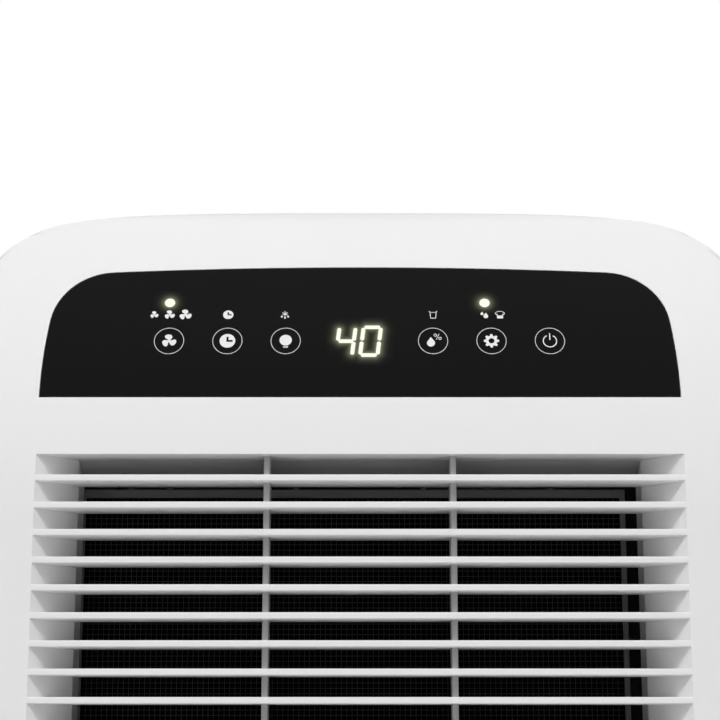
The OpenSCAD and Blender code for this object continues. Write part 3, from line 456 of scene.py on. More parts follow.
# ---- Tank ----
# A translucent moulded bucket under a lid that snaps on, with a foam float on two pins inside it. Its
# front cover is the same white plastic as the case, with a clear window let into it to show the level.
bucket = finish("translucent_polypropylene", (0.84, 0.89, 0.92), 0.34, variation=0.02, grain=40.0,
                relief=0.0, Transmission_Weight=0.30, IOR=1.45)
clear_styrene = finish("clear_styrene", (0.56, 0.68, 0.75), 0.08, variation=0.02, grain=30.0, relief=0.0,
                       Transmission_Weight=0.55, IOR=1.5)
foam = finish("closed_cell_foam", (0.82, 0.82, 0.79), 0.62, variation=0.05, relief=0.00008)
satin_white = finish("satin_white_plastic", (0.80, 0.80, 0.80), 0.40, variation=0.015, grain=1500.0,
                     relief=0.000008, spread=0.03, Specular_IOR_Level=0.35)
dress("tank_body", bucket, 0.0008)
dress("tank_lid", satin_white, 0.0005)
dress("tank_float", foam, 0.0012)
dress("tank_window", clear_styrene, 0.0003)
dress("tank_front", satin_white, 0.0009)

# ---- Rear shell ----
# One satin white moulding 3 mm thick: the back, the sides and the arched top, with vents and a drain
# pocket in its back and openings for the outlet and the grips. Six screws through its bosses hold it to
# the front shell.
mm = 0.001
shell_low, shell_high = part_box("rear_shell")
back_y = shell_high.y
seam_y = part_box("front_shell")[1].y
skirt_z = shell_low.z
half_w = shell_high.x
crown_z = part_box("top_cover")[1].z
face_r = 292 * mm
crest_lean = math.sin(math.radians(28.8))
face_z = crown_z - face_r * crest_lean - 42 * mm * (1 - crest_lean)
shell_wall = 3 * mm
arch = ([950 * mm, 194 * mm, 50 * mm, 300 * mm], [16.6, 80.0, 90.0])


def arch_of(half, top, radii, turns):
    """Centres and end angles of the arcs from the crown to the side. Each starts where the last one
    ends, and its centre lies on the last one's end radius. The first angle is the one that makes the
    outline half wide."""
    turns = np.radians(turns)
    steps = np.diff(np.sin(np.concatenate([[0.0], turns])))
    steps[0] = math.sin(turns[0])
    start = math.asin((half - np.dot(radii[1:], steps)) / (radii[0] - radii[1]))
    ends = np.concatenate([[start], turns])
    centres = [np.array([0.0, top - radii[0]])]
    for i in range(1, len(radii)):
        outward = np.array([math.sin(ends[i - 1]), math.cos(ends[i - 1])])
        centres.append(centres[-1] + (radii[i - 1] - radii[i]) * outward)
    return np.array(centres), ends


def half_outline(half, top, radii, turns, levels, counts):
    """Points and normals of the right half of an arched outline, up its straight side and over to the
    crown."""
    centres, ends = arch_of(half, top, radii, turns)
    points = [[half, z] for z in levels if z < centres[-1][1] - 1e-6]
    normals = [[1.0, 0.0]] * len(points)
    for i in range(len(radii) - 1, -1, -1):
        low = ends[i - 1] if i else 0.0
        for a in np.linspace(ends[i], low, counts[i] + 1)[(0 if i == len(radii) - 1 else 1):]:
            normal = np.array([math.sin(a), math.cos(a)])
            points.append(centres[i] + radii[i] * normal)
            normals.append(normal)
    return np.array(points), np.array(normals)


def past_arch(x, z, half, top, radii, turns):
    """How far a point lies outside the arched outline: its distance from the centre of the arc whose
    sector it is in, less that arc's radius, or how far it is past the straight side."""
    centres, ends = arch_of(half, top, radii, turns)
    result = x - half
    for i in range(len(radii)):
        dx, dz = x - centres[i][0], z - centres[i][1]
        angle = np.arctan2(dx, dz)
        low = ends[i - 1] if i else -1e-9
        inside = (angle >= low) & (angle <= ends[i])
        if i == 0:
            inside = inside | (angle < 0)
        result = np.where(inside & (dz > 0), np.hypot(dx, dz) - radii[i], result)
    return result


def face_setback(z):
    """How far the bulging face lies behind the front plane at height z: 0 up to face_z, then an arc."""
    rise = np.maximum(np.asarray(z, float) - face_z, 0)
    return face_r - np.sqrt(face_r ** 2 - rise ** 2)


def past_face(y, z):
    """How far a point lies in front of the face."""
    return np.where(z < face_z, front_y - y, np.hypot(y - front_y - face_r, z - face_z) - face_r)


def blended(a, b, r, c):
    """How far a point is outside the edge of two surfaces, rounded to radius r. It is a past one and b
    past the other, and c is the dot product of their normals. With u = a + r and v = b + r, between
    the normals it is the distance from the arc's centre less r: the root of
    (u^2 + v^2 - 2 u v c) / (1 - c^2), less r."""
    u, v = a + r, b + r
    from_centre = np.sqrt(np.maximum(u * u + v * v - 2 * u * v * c, 0) / (1 - c * c))
    return np.where((u > v * c) & (v > u * c), from_centre - r, np.maximum(a, b))


def half_body(name, front):
    """One half of the case as an open sheet. Rays leave a core 34 mm inside the outline, in a quarter
    turn from straight forward (or back) to straight out, and then step along to the seam. Each ray is
    bisected until its point is on the rounded edge of the face (or the back) and the arch. In front
    the edge's radius falls from 20 mm at the sides to 4 mm, and swells to 45 mm under the crown. At
    the back it grows from 20 mm at the sides to 30 mm. Level strips close the middle."""
    inset = 34 * mm
    straight_top = 394.4 * mm
    ray_count, step_count, reach = 15, 6, 0.08
    levels = np.concatenate([np.linspace(skirt_z, face_z, 9), np.linspace(face_z, straight_top, 15)[1:]])
    points, normals = half_outline(half_w, crown_z, *arch, levels, [10, 6, 16, 13])
    core = points - inset * normals
    fan = np.radians(np.linspace(0, 90, ray_count))
    level = normals[:, 1][:, None]
    if front:
        core_y = front_y + face_setback(core[:, 1]) + inset
        crest = np.clip((points[:, 1][:, None] - crown_z) / (12 * mm) + 1, 0, 1)
        radius = 4 * mm + 16 * mm * (1 - level) ** 2 + 41 * mm * crest ** 2
        end_y, way = seam_y, -1.0
    else:
        core_y = np.full(len(core), back_y - inset)
        radius = 20 * mm + 10 * mm * level
        end_y, way = seam_y + 0.2 * mm, 1.0
    straight = np.linspace(0, 1, step_count + 1)[1:]
    fanned = np.repeat(core_y[:, None], ray_count, 1)
    stepped = core_y[:, None] + (end_y - core_y[:, None]) * straight
    start_y = np.concatenate([fanned, stepped], 1)
    turn = np.concatenate([fan, np.full(step_count, math.pi / 2)])
    low = np.zeros_like(start_y)
    high = np.full_like(start_y, reach)
    for _ in range(40):
        s = (low + high) / 2
        x = core[:, 0][:, None] + s * np.sin(turn) * normals[:, 0][:, None]
        z = core[:, 1][:, None] + s * np.sin(turn) * normals[:, 1][:, None]
        y = start_y + way * s * np.cos(turn)
        ahead = past_face(y, z) if front else y - back_y
        lean = np.clip((z - face_z) / face_r, 0, 1) if front else 0.0
        out = blended(ahead, past_arch(x, z, half_w, crown_z, *arch), radius, lean * level) > 0
        high = np.where(out, s, high)
        low = np.where(out, low, s)
    right = np.stack([x, y, z], -1)
    rows, columns = right.shape[:2]
    left = right[:-1] * (-1, 1, 1)
    vertices = np.concatenate([right.reshape(-1, 3), left.reshape(-1, 3)])
    order = list(range(rows)) + [-(i + 1) for i in range(rows - 2, -1, -1)]

    def at(row, column):
        return row * columns + column if row >= 0 else rows * columns + (-row - 1) * columns + column

    faces = [(at(a, j), at(a, j + 1), at(b, j + 1), at(b, j)) for a, b in zip(order, order[1:])
             for j in range(columns - 1)]
    for row in range(rows - 2):
        faces.append((at(row, 0), at(row + 1, 0), at(-row - 2, 0), at(-row - 1, 0)))
    faces.append((at(rows - 2, 0), at(rows - 1, 0), at(-rows + 1, 0)))
    mesh = bpy.data.meshes.new(name)
    mesh.from_pydata(vertices.tolist(), [], faces)
    mesh.update()
    form = bmesh.new()
    form.from_mesh(mesh)
    form.normal_update()
    inside = np.array([0, 0, 0.26])
    inward_faces = [f for f in form.faces if np.dot(np.array(f.calc_center_median()) - inside, f.normal) < 0]
    bmesh.ops.reverse_faces(form, faces=inward_faces)
    form.to_mesh(mesh)
    form.free()
    piece = bpy.data.objects.new(name, mesh)
    bpy.context.scene.collection.objects.link(piece)
    thickness = piece.modifiers.new("wall", "SOLIDIFY")
    thickness.thickness = shell_wall
    thickness.offset = -1
    thickness.use_even_offset = True
    return piece


def loft(rings, closed=False):
    """Points and faces of a solid through rings of equal size, capped at its ends or closed on itself."""
    rings = np.asarray(rings, float)
    count, size = rings.shape[:2]
    i, j = np.meshgrid(np.arange(count if closed else count - 1), np.arange(size), indexing="ij")
    a, b = i * size, (i + 1) % count * size
    c, d = j, (j + 1) % size
    faces = np.stack([a + c, a + d, b + d, b + c], -1).reshape(-1, 4).tolist()
    if not closed:
        faces += [list(range(size))[::-1], list(range((count - 1) * size, count * size))]
    return rings.reshape(-1, 3), faces


def solid(name, parts, material=None):
    """One mesh of several lofts, each turned so that its faces look outward."""
    points, faces, first = [], [], 0
    for vertices, some in parts:
        points.append(np.asarray(vertices))
        faces += [[first + v for v in face] for face in some]
        first += len(vertices)
    mesh = bpy.data.meshes.new(name)
    mesh.from_pydata(np.concatenate(points).tolist(), [], faces)
    turned_outward(mesh)
    if material:
        mesh.materials.append(material)
    return bpy.data.objects.new(name, mesh)


def brick(x0, x1, y0, y1, z0, z1):
    """A plain box between the given planes."""
    ring = [(x0, y0), (x1, y0), (x1, y1), (x0, y1)]
    return loft([[(x, y, z) for x, y in ring] for z in (z0, z1)])


def stepped_y(x, z, profile):
    """A round solid along Y, through (radius, y) steps."""
    turn = np.linspace(0, 2 * math.pi, 32, endpoint=False)
    return loft([[(x + r * math.cos(t), y, z + r * math.sin(t)) for t in turn] for r, y in profile])


def carve(piece, material, *steps):
    """Joins or cuts the piece by each (operation, parts) in turn, and keeps the result as plain mesh."""
    tools = []
    for index, (operation, parts) in enumerate(steps):
        tool = solid(piece.name + "_tool_%d" % index, parts)
        bpy.context.scene.collection.objects.link(tool)
        tools.append(tool)
        cut = piece.modifiers.new("cut_%d" % index, "BOOLEAN")
        cut.operation = operation
        cut.object = tool
        cut.solver = "EXACT"
    bpy.context.view_layer.update()
    mesh = bpy.data.meshes.new_from_object(piece.evaluated_get(bpy.context.evaluated_depsgraph_get()))
    piece.modifiers.clear()
    piece.data = mesh
    for tool in tools:
        bpy.data.objects.remove(tool)
    form = bmesh.new()
    form.from_mesh(mesh)
    bmesh.ops.remove_doubles(form, verts=form.verts, dist=2e-6)
    form.to_mesh(mesh)
    form.free()
    mesh.materials.clear()
    mesh.materials.append(material)
    mesh.polygons.foreach_set("material_index", np.zeros(len(mesh.polygons), np.int32))
    shade_smooth(mesh, 25)
    return piece


gap = 0.3 * mm
past_back = back_y + 1 * mm
under_back = back_y - 1 * mm

frame_low, frame_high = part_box("outlet_frame")
past_crown = 0.6
outlet_cut = brick(frame_low.x - gap, frame_high.x + gap, frame_low.y - gap, frame_high.y + gap, frame_low.z,
                   past_crown)

screw_rows = (70 * mm, 250 * mm, crown_z - 75 * mm)
screws = [(x * (half_w - 26 * mm), z) for z in screw_rows for x in (-1, 1)]
boss_r, hole_r, head_r = 5 * mm, 2.05 * mm, 3.8 * mm
head_y = back_y - 3 * mm
bosses = [stepped_y(x, z, [(boss_r, back_y - 12 * mm), (boss_r, under_back)]) for x, z in screws]
screw_hole = [(hole_r, back_y - 13 * mm), (hole_r, head_y),
              (head_r, head_y + 0.01 * mm), (head_r, past_back)]
screw_holes = [stepped_y(x, z, screw_hole) for x, z in screws]

drain_x = 110 * mm
pocket_half = 20 * mm
pocket_wall = 2 * mm
pocket_rise = 23 * mm
pocket_floor = back_y - 16 * mm
pocket_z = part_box("drain_flap")[0].z + 19.7 * mm
drain_r = 7.3 * mm
pocket = brick(drain_x - pocket_half, drain_x + pocket_half, pocket_floor, past_back,
               pocket_z - pocket_half, pocket_z + pocket_rise)
pocket_block = brick(drain_x - pocket_half - pocket_wall, drain_x + pocket_half + pocket_wall,
                     pocket_floor - pocket_wall, under_back,
                     pocket_z - pocket_half - pocket_wall, pocket_z + pocket_rise + pocket_wall)
drain_hole = stepped_y(drain_x, pocket_z, [(drain_r, back_y - 20 * mm), (drain_r, back_y - 10 * mm)])

gland_low, gland_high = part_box("cord_gland")
gland_x = (gland_low.x + gland_high.x) / 2
gland_z = (gland_low.z + gland_high.z) / 2
gland_r = 8 * mm
gland_hole = stepped_y(gland_x, gland_z, [(gland_r, back_y - 9 * mm), (gland_r, past_back)])

grip_low, grip_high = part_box("grips")
grip_depth = 24 * mm
grip_sides = ((grip_low.x, grip_low.x + grip_depth), (grip_high.x - grip_depth, grip_high.x))
grip_openings = [brick(x0 - gap, x1 + gap, grip_low.y - gap, grip_high.y + gap,
                       grip_low.z - gap, grip_high.z + gap) for x0, x1 in grip_sides]

vent_rows = range(108, 169, 12)
vents = [brick(-125 * mm, -15 * mm, back_y - 4 * mm, past_back, z * mm, (z + 5) * mm) for z in vent_rows]

rear_shell = carve(
    half_body("rear_shell_moulding", False), satin_white,
    ("UNION", [pocket_block] + bosses),
    ("DIFFERENCE", [outlet_cut, pocket, gland_hole] + grip_openings + screw_holes + vents),
    ("DIFFERENCE", [drain_hole]))
show(rear_shell, "cabinet", "shell_white", "rear_shell", "top_cover")
dress("grips", satin_white, 0.0005)
dress("shell_screws", axle_steel, 0.0002)
dress("drain_flap", satin_white, 0.0004)
dress("cord_gland", rubber, 0.0004)

# ---- Outlet ----
# A white frame let into the top, with eleven guard bars across it and three vanes that pivot on their end
# pins. A black link ties the vanes' cranks together, and a small motor at the front vane swings them all.
dress("outlet_frame", satin_white, 0.0003)
vane_white = finish("vane_white_plastic", (0.77, 0.77, 0.76), 0.42, variation=0.02, grain=1200.0,
                    relief=0.00001)
link_black = finish("link_black_plastic", (0.03, 0.03, 0.032), 0.45, variation=0.06, grain=700.0)


def vane_form(node):
    """A vane with pins at its ends. With v from -1 to 1 across its width, its half thickness in mm is
    (0.9 + 1.9 exp(-(v / 0.28)^2)) sqrt(1 - 0.999 v^2): a thick middle for the pins and thin edges."""
    low, high = (np.array(v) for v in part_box(node))
    pin_z = crown_z - 18 * mm
    pin_y = (low[1] + high[1]) / 2
    half = 113.5 * mm
    wide = 10 * mm
    there = np.cos(np.linspace(0, math.pi, 21))
    back = np.cos(np.linspace(math.pi, 2 * math.pi, 21))[1:-1]
    v = np.concatenate([there, back])
    side = np.concatenate([np.ones(21), -np.ones(19)])
    thick = (0.9 * mm + 1.9 * mm * np.exp(-(v / 0.28) ** 2)) * np.sqrt(1 - v ** 2 * 0.999)
    section = np.stack([side * thick, v * wide], -1)
    body = loft([[(x, pin_y + s[0], pin_z + s[1]) for s in section] for x in (-half, half)])
    turn = np.linspace(0, 2 * math.pi, 24, endpoint=False)

    def pin(x0, x1, r, z):
        return loft([[(x, pin_y + r * math.cos(t), z + r * math.sin(t)) for t in turn] for x in (x0, x1)])

    pin_r, crank_pin_r, crank, root = 2 * mm, 1.2 * mm, 8 * mm, 1 * mm
    pins = [pin(low[0], -half + root, pin_r, pin_z), pin(half - root, high[0], pin_r, pin_z),
            pin(-half - 3.9 * mm, -half + root, crank_pin_r, pin_z - crank)]
    return solid(node + "_moulding", [body] + pins, vane_white)


for node in ("vane_front", "vane_middle", "vane_rear"):
    vane = show(vane_form(node), node, slots[node], node)
    shade_smooth(vane.data, 40)
dress("vane_link", link_black, 0.0003)
dress("swing_motor", motor_paint, 0.0004)

# ---- Front shell ----
# The satin white front moulding, 3 mm thick: a bulging face with eleven intake slots between splayed end
# walls, its slats and ribs, a recess for the control panel and one for the tank's cover. Behind the slats a
# hood and foam strips close the gaps round the filter and the evaporator. The ribs and the hood are painted
# grey: painted shade for the shadow behind the slats.
grille_half = half_w - 40.8 * mm
tunnel_half = grille_half - 17 * mm
grille_top = face_z + 28 * mm
pitch, slat = 12.58 * mm, 2.95 * mm
slot_count = 11
grille_low = grille_top - slot_count * pitch + slat
slat_back = front_y + 22 * mm
tunnel_back = front_y + 40 * mm
panel_half = grille_half
panel_low = face_z + 55.6 * mm
panel_h = 67.6 * mm
panel_arch = ([2460 * mm, 29.5 * mm, 312 * mm], [83.0, 90.0])


def face_levels(low, high, step):
    """Heights from low to high about a step apart, with the foot of the bulge among them."""
    heights = np.linspace(low, high, int((high - low) / step) + 2)
    if low < face_z < high:
        heights = np.sort(np.append(heights, face_z))
    return heights


def splay_x(y, z):
    """Half the width between the splayed end walls at depth y and height z. It falls evenly from
    grille_half at the face to tunnel_half at the back of the slats."""
    face = front_y + face_setback(z)
    return tunnel_half + (grille_half - tunnel_half) * (slat_back - y) / (slat_back - face)


def intake(z):
    """The intake's plan at height z: a splayed mouth from outside the face, then straight to the
    filter."""
    mouth = front_y + face_setback(z) - 2 * mm
    half = [(-splay_x(mouth, z), mouth), (-tunnel_half, slat_back), (-tunnel_half, tunnel_back + 1 * mm)]
    return [(x, y, z) for x, y in half] + [(-x, y, z) for x, y in half[::-1]]


def intake_block(z):
    """The solid round the intake at height z, from inside the shell's wall back to the filter."""
    face = front_y + face_setback(z) + 1.5 * mm
    side = grille_half + 3 * mm
    return [(-side, face, z), (-side, tunnel_back, z), (side, tunnel_back, z), (side, face, z)]


def panel_outline(inset):
    """Right half of the panel's outline, from its lower corner to its crown."""
    levels = [panel_low + inset]
    top = panel_low + panel_h
    radii = [r - inset for r in panel_arch[0]]
    points = half_outline(panel_half - inset, top - inset, radii, panel_arch[1], levels, [16, 12, 30])[0]
    foot = panel_low + inset
    foot_x = np.interp(foot, points[:20, 1], points[:20, 0])
    return np.concatenate([[[foot_x, foot]], points[points[:, 1] > foot + 0.5 * mm]])


def on_face(x, z, out):
    """A point over the face at height z, moved out along the face's normal."""
    lean = np.arcsin(np.clip((z - face_z) / face_r, 0, 1))
    return np.stack([x, front_y + face_r - (face_r + out) * np.cos(lean),
                     face_z + (face_r + out) * np.sin(lean)], -1)


def face_plate(outline, outer, inner):
    """A plate that follows the face between two offsets from it, inside an outline of which the right
    half is given and the left is its mirror."""
    x, z = outline[:-1, 0], outline[:-1, 1]
    corners = [on_face(x, z, outer), on_face(x, z, inner), on_face(-x, z, inner), on_face(-x, z, outer)]
    return loft(np.stack(corners, 1))


def rounded(width, height, r, centre_z, y0, y1):
    """A block along Y whose section is a rectangle with its corners rounded to r."""
    ring = []
    for quadrant, (sx, sz) in enumerate(((1, 1), (-1, 1), (-1, -1), (1, -1))):
        for a in np.linspace(quadrant * math.pi / 2, (quadrant + 1) * math.pi / 2, 9):
            x = sx * (width / 2 - r) + r * math.cos(a)
            ring.append((x, centre_z + sz * (height / 2 - r) + r * math.sin(a)))
    return loft([[(x, y, z) for x, z in ring] for y in (y0, y1)])


level_step = 5 * mm
block = loft([intake_block(z) for z in face_levels(grille_low - 3 * mm, grille_top + 3 * mm, level_step)])
mouth = loft([intake(z) for z in face_levels(grille_low, grille_top, level_step)])

panel_clear = 0.35 * mm
recess = face_plate(panel_outline(-panel_clear), 2 * mm, -2.4 * mm)

cover_low, cover_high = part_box("tank_front")
cover_clear = 1 * mm
cover_w = cover_high.x - cover_low.x + cover_clear
cover_h = cover_high.z - cover_low.z + cover_clear
cover_recess = rounded(cover_w, cover_h, 6.5 * mm, (cover_low.z + cover_high.z) / 2,
                       front_y - 1 * mm, front_y + 8 * mm)

filter_low, filter_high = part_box("filter_frame")
filter_door = brick(-half_w - 1 * mm, -half_w + 4 * mm, filter_low.y - gap, filter_high.y + gap,
                    filter_low.z - gap, filter_high.z + gap)

keys_z = face_z + 83.7 * mm
key_lean = math.asin((keys_z - face_z) / face_r)
window_half, window_rise = 118.0 * mm, 23 * mm
window_near, window_far = 1.5 * mm, 14 * mm
along = np.array([0, math.sin(key_lean), math.cos(key_lean)])
inward = np.array([0, math.cos(key_lean), -math.sin(key_lean)])
window_section = ((-window_rise, window_near), (window_rise, window_near), (window_rise, window_far),
                  (-window_rise, window_far))
window_ends = on_face(np.array([-window_half, window_half]), np.array([keys_z, keys_z]), 0.0)
window_cut = loft([[p + along * u + inward * d for u, d in window_section] for p in window_ends])

front_shell = carve(
    half_body("front_shell_moulding", True), satin_white,
    ("UNION", [block]),
    ("DIFFERENCE", [mouth, recess, cover_recess, filter_door]),
    ("DIFFERENCE", [window_cut]))
show(front_shell, "cabinet", "shell_white", "front_shell")


def slat_loft(z0, z1):
    """A slat flush with the face. Its front edges are rounded and its back edges are cut off, both by
    0.5 mm, and its ends meet the splayed walls."""
    r = 0.5 * mm
    ring = []
    for corner, start in ((z0, -90), (z1, 0)):
        inward_z = corner + (r if corner == z0 else -r)
        for a in np.radians(np.linspace(start, start + 90, 6)):
            z = inward_z + r * math.sin(a)
            ring.append((front_y + face_setback(z) + r - r * math.cos(a), z))
    ring += [(slat_back - r, z1), (slat_back, z1 - r), (slat_back, z0 + r), (slat_back - r, z0)]
    return loft([[(s * splay_x(y, z), y, z) for y, z in ring] for s in (-1, 1)])


def rib_loft(x):
    """An upright rib behind the slats' front edges, its own front edges rounded."""
    rings = []
    half, r = 1.4 * mm, 0.4 * mm
    for z in face_levels(grille_low, grille_top, level_step):
        y = front_y + face_setback(z) + 6.5 * mm
        rings.append([(x - half, slat_back, z), (x - half, y + r, z), (x - half + r, y, z),
                      (x + half - r, y, z), (x + half, y + r, z), (x + half, slat_back, z)])
    return loft(rings)


slat_tops = [grille_top - k * pitch for k in range(1, slot_count)]
louvres = solid("front_shell_louvres", [slat_loft(z, z + slat) for z in slat_tops], satin_white)
shade_smooth(louvres.data, 30)
show(louvres, "cabinet", "shell_white", "front_shell")

# The ribs are white moulding like the slats. Their grey is painted shade for the shadow they sit in behind
# the slats.
rib_painted_shade = finish("rib_painted_shade_plastic", (0.38, 0.38, 0.38), 0.5, variation=0.04)
rib_x = 43.1 * mm
ribs = solid("front_shell_ribs", [rib_loft(x) for x in (-rib_x, rib_x)], rib_painted_shade)
show(ribs, "cabinet", "filter_grey", "front_shell")

# The hood is part of the white front moulding. Its grey is painted shade for the dark bay behind the top
# slot.
hood_painted_shade = finish("hood_painted_shade_plastic", (0.46, 0.46, 0.46), 0.55, variation=0.05)
hood_top, hood_foot = grille_top + 1 * mm, grille_top - 10 * mm
hood_section = ((slat_back, hood_top), (slat_back, grille_top),
                (tunnel_back, hood_foot), (tunnel_back, hood_top))
hood = loft([[(x, y, z) for y, z in hood_section] for x in (-tunnel_half, tunnel_half)])
show(solid("front_shell_hood", [hood], hood_painted_shade), "cabinet", "filter_grey", "front_shell")

foam_strip = finish("black_foam_strip", (0.006, 0.006, 0.006), 0.9, variation=0.3, relief=0.0002)
coil_low, coil_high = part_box("evaporator_fins")
strip_reach, strip_lap = 20 * mm, 1 * mm
strip_sides = ((coil_low.x - strip_reach, coil_low.x + strip_lap),
               (coil_high.x - strip_lap, coil_high.x + strip_reach))
strip_front, strip_back = -85.2 * mm, -82.4 * mm
strips = [brick(x0, x1, strip_front, strip_back, coil_low.z, coil_high.z + 6 * mm) for x0, x1 in strip_sides]
show(solid("intake_seal_strips", strips, foam_strip), "cabinet", "rubber_black")

# ---- Control panel ----
# A gloss black acrylic plate, arched like the case and let flush into its face. Rings and symbols for the
# six touch keys are screen printed on it in grey and white, and two digits and two lamps behind it shine
# through.
acrylic = finish("gloss_black_acrylic", (0.0040, 0.0040, 0.0042), 0.10, variation=0.10, grain=40.0,
                 relief=0.0, spread=0.03, Specular_IOR_Level=0.18)
print_white = finish("white_screen_print", (0.80, 0.80, 0.80), 0.55, grain=2500.0, relief=0.0)
print_grey = finish("grey_screen_print", (0.60, 0.60, 0.61), 0.55, variation=0.04, grain=2500.0, relief=0.0)
panel_sink = 0.05 * mm
ink = 0.06 * mm
panel = solid("control_panel_plate", [face_plate(panel_outline(0.0), -panel_sink, -2.2 * mm)], acrylic)
shade_smooth(panel.data, 30)
edge = panel.modifiers.new("polished_edge", "BEVEL")
edge.width = 0.25 * mm
edge.segments = 2
edge.limit_method = "ANGLE"
edge.angle_limit = math.radians(50)
edge.harden_normals = True
show(panel, "cabinet", "panel_black", "control_panel")


def printed(u, v, out):
    """A point on the panel: u across, v along the face upward from the keys' row, out from its
    surface."""
    turn = key_lean + np.asarray(v, float) / face_r
    r = face_r - panel_sink + out
    y = front_y + face_r - r * np.cos(turn)
    return np.stack([np.asarray(u, float), y, face_z + r * np.sin(turn)], -1)


def stroke(points, width, closed=False, height=ink):
    """A line of even width through points on the panel, as a thin closed solid. At a corner its sides
    lie along the mean of the two normals, half the width over the cosine of half the turn away, so
    that they are mitred."""
    p = np.asarray(points, float)
    if closed:
        before = np.roll(p, 1, 0)
        after = np.roll(p, -1, 0)
    else:
        before = np.concatenate([2 * p[:1] - p[1:2], p[:-1]])
        after = np.concatenate([p[1:], 2 * p[-1:] - p[-2:-1]])
    one, two = p - before, after - p
    one /= np.linalg.norm(one, axis=1)[:, None]
    two /= np.linalg.norm(two, axis=1)[:, None]
    normal = np.stack([-(one + two)[:, 1], (one + two)[:, 0]], -1)
    normal /= np.linalg.norm(normal, axis=1)[:, None]
    reach = width / 2 / np.maximum(np.abs(normal[:, 0] * -one[:, 1] + normal[:, 1] * one[:, 0]), 0.4)
    a, b = p + normal * reach[:, None], p - normal * reach[:, None]
    ring = [printed(side[:, 0], side[:, 1], h) for side, h in ((a, height), (b, height), (b, 0), (a, 0))]
    return loft(np.stack(ring, 1), closed)


def patch(points, height=ink):
    """A filled outline on the panel, as a thin closed solid."""
    p = np.asarray(points, float)
    return loft([printed(p[:, 0], p[:, 1], h) for h in (0, height)])


def arc(cx, cy, r, start, end, steps):
    """Points along an arc, with its angles in degrees from across towards up."""
    a = np.radians(np.linspace(start, end, steps))
    return np.stack([cx + r * np.cos(a), cy + r * np.sin(a)], -1)


def circle(cx, cy, r, steps=48):
    """Points round a circle, without repeating the first."""
    return arc(cx, cy, r, 0, 360, steps + 1)[:-1]


def fan_sign(cx, cy, r):
    """Three fat swept blades round a hub, each the same outline turned by a third of a turn."""
    parts = [patch(circle(cx, cy, r * 0.2, 16))]
    blade = np.array([(0.06, -0.12), (0.28, -0.36), (0.58, -0.50), (0.88, -0.36), (1.0, 0.02), (0.94, 0.36),
                      (0.74, 0.54), (0.48, 0.44), (0.26, 0.18), (0.08, 0.13)])
    for turn in (95, 215, 335):
        a = math.radians(turn)
        spin = np.array([[math.cos(a), -math.sin(a)], [math.sin(a), math.cos(a)]])
        parts.append(patch(blade @ spin.T * r + (cx, cy)))
    return parts


def drop_outline(cx, cy, r):
    """A drop: a pointed top 1.7 r over the middle of a round foot of radius r."""
    return np.concatenate([arc(cx, cy, r, -205, 25, 22), [(cx, cy + 1.7 * r)]])


def percent_sign(cx, cy, r, w):
    """Two small rings and a slash."""
    rings = [stroke(circle(cx - s * r * 0.62, cy + s * r * 0.5, r * 0.36, 14), w, True) for s in (1, -1)]
    return rings + [stroke([(cx - r * 0.42, cy - r * 0.9), (cx + r * 0.42, cy + r * 0.9)], w)]


def gear_sign(cx, cy, r):
    """A toothed ring. Its outer radius is r (0.88 + 0.12 tanh(3.5 cos 8a)) at the angle a, which makes
    eight teeth, and its hole's radius is 0.38 r."""
    a = np.linspace(0, 2 * math.pi, 97)[:-1]
    rim = r * (0.88 + 0.12 * np.tanh(3.5 * np.cos(8 * a)))
    hole = np.full_like(a, r * 0.38)
    ring = [printed(cx + q * np.cos(a), cy + q * np.sin(a), h)
            for q, h in ((rim, ink), (hole, ink), (hole, 0), (rim, 0))]
    return [loft(np.stack(ring, 1), True)]


key_x = np.array([-90.2, -62.6, -35.1, 34.5, 62.1, 89.7]) * mm
ring_r, ring_pen = 6.94 * mm, 0.33 * mm
lamp_foot = np.array([(-1.3, -2.9), (-1.0, -3.7), (1.0, -3.7), (1.3, -2.9)]) * mm
rings = [stroke(circle(x, 0, ring_r, 72), ring_pen, True) for x in key_x]
rings.append(patch(lamp_foot + (key_x[2], 0)))
show(solid("panel_key_rings", rings, print_grey), "cabinet", "panel_black", "control_panel")

fan_key, clock_key, lamp_key, humidity_key, mode_key, power_key = key_x
row = 14.4 * mm
pen, fine_pen, flake_pen, shirt_pen, water_pen = 0.52 * mm, 0.34 * mm, 0.36 * mm, 0.30 * mm, 0.24 * mm
clock_r, small_clock_r, small_clock_x = 3.7 * mm, 2.45 * mm, -62.7 * mm
signs = fan_sign(fan_key, 0, 3.5 * mm)
signs.append(patch(circle(clock_key, 0, clock_r)))
signs.append(patch(circle(lamp_key, 0.35 * mm, 2.9 * mm)))
signs.append(patch(drop_outline(humidity_key - 1.0 * mm, -1.2 * mm, 1.9 * mm)))
signs += percent_sign(humidity_key + 2.2 * mm, 2.2 * mm, 1.75 * mm, 0.30 * mm)
signs += gear_sign(mode_key, 0, 3.65 * mm)
signs.append(stroke(arc(power_key, -0.1 * mm, 3.15 * mm, 117, 423, 40), pen))
signs.append(stroke([(power_key, 4.2 * mm), (power_key, 0.5 * mm)], pen))
for x, r in ((-97.9, 2.0), (-90.6, 2.5), (-83.1, 3.0)):
    signs += fan_sign(x * mm, row, r * mm)
signs.append(patch(circle(small_clock_x, row, small_clock_r, 32)))

flake = np.array([-35.7 * mm, row + 0.5 * mm])
flake_r = 1.5 * mm
for turn in (30, 90, 150):
    reach = flake_r * np.array([math.cos(math.radians(turn)), math.sin(math.radians(turn))])
    signs.append(stroke([flake - reach, flake + reach], flake_pen))
for x, y in ((-37.2, -1.1), (-35.7, -1.7), (-34.2, -1.1)):
    signs.append(patch(circle(x * mm, row + y * mm, 0.5 * mm, 12)))

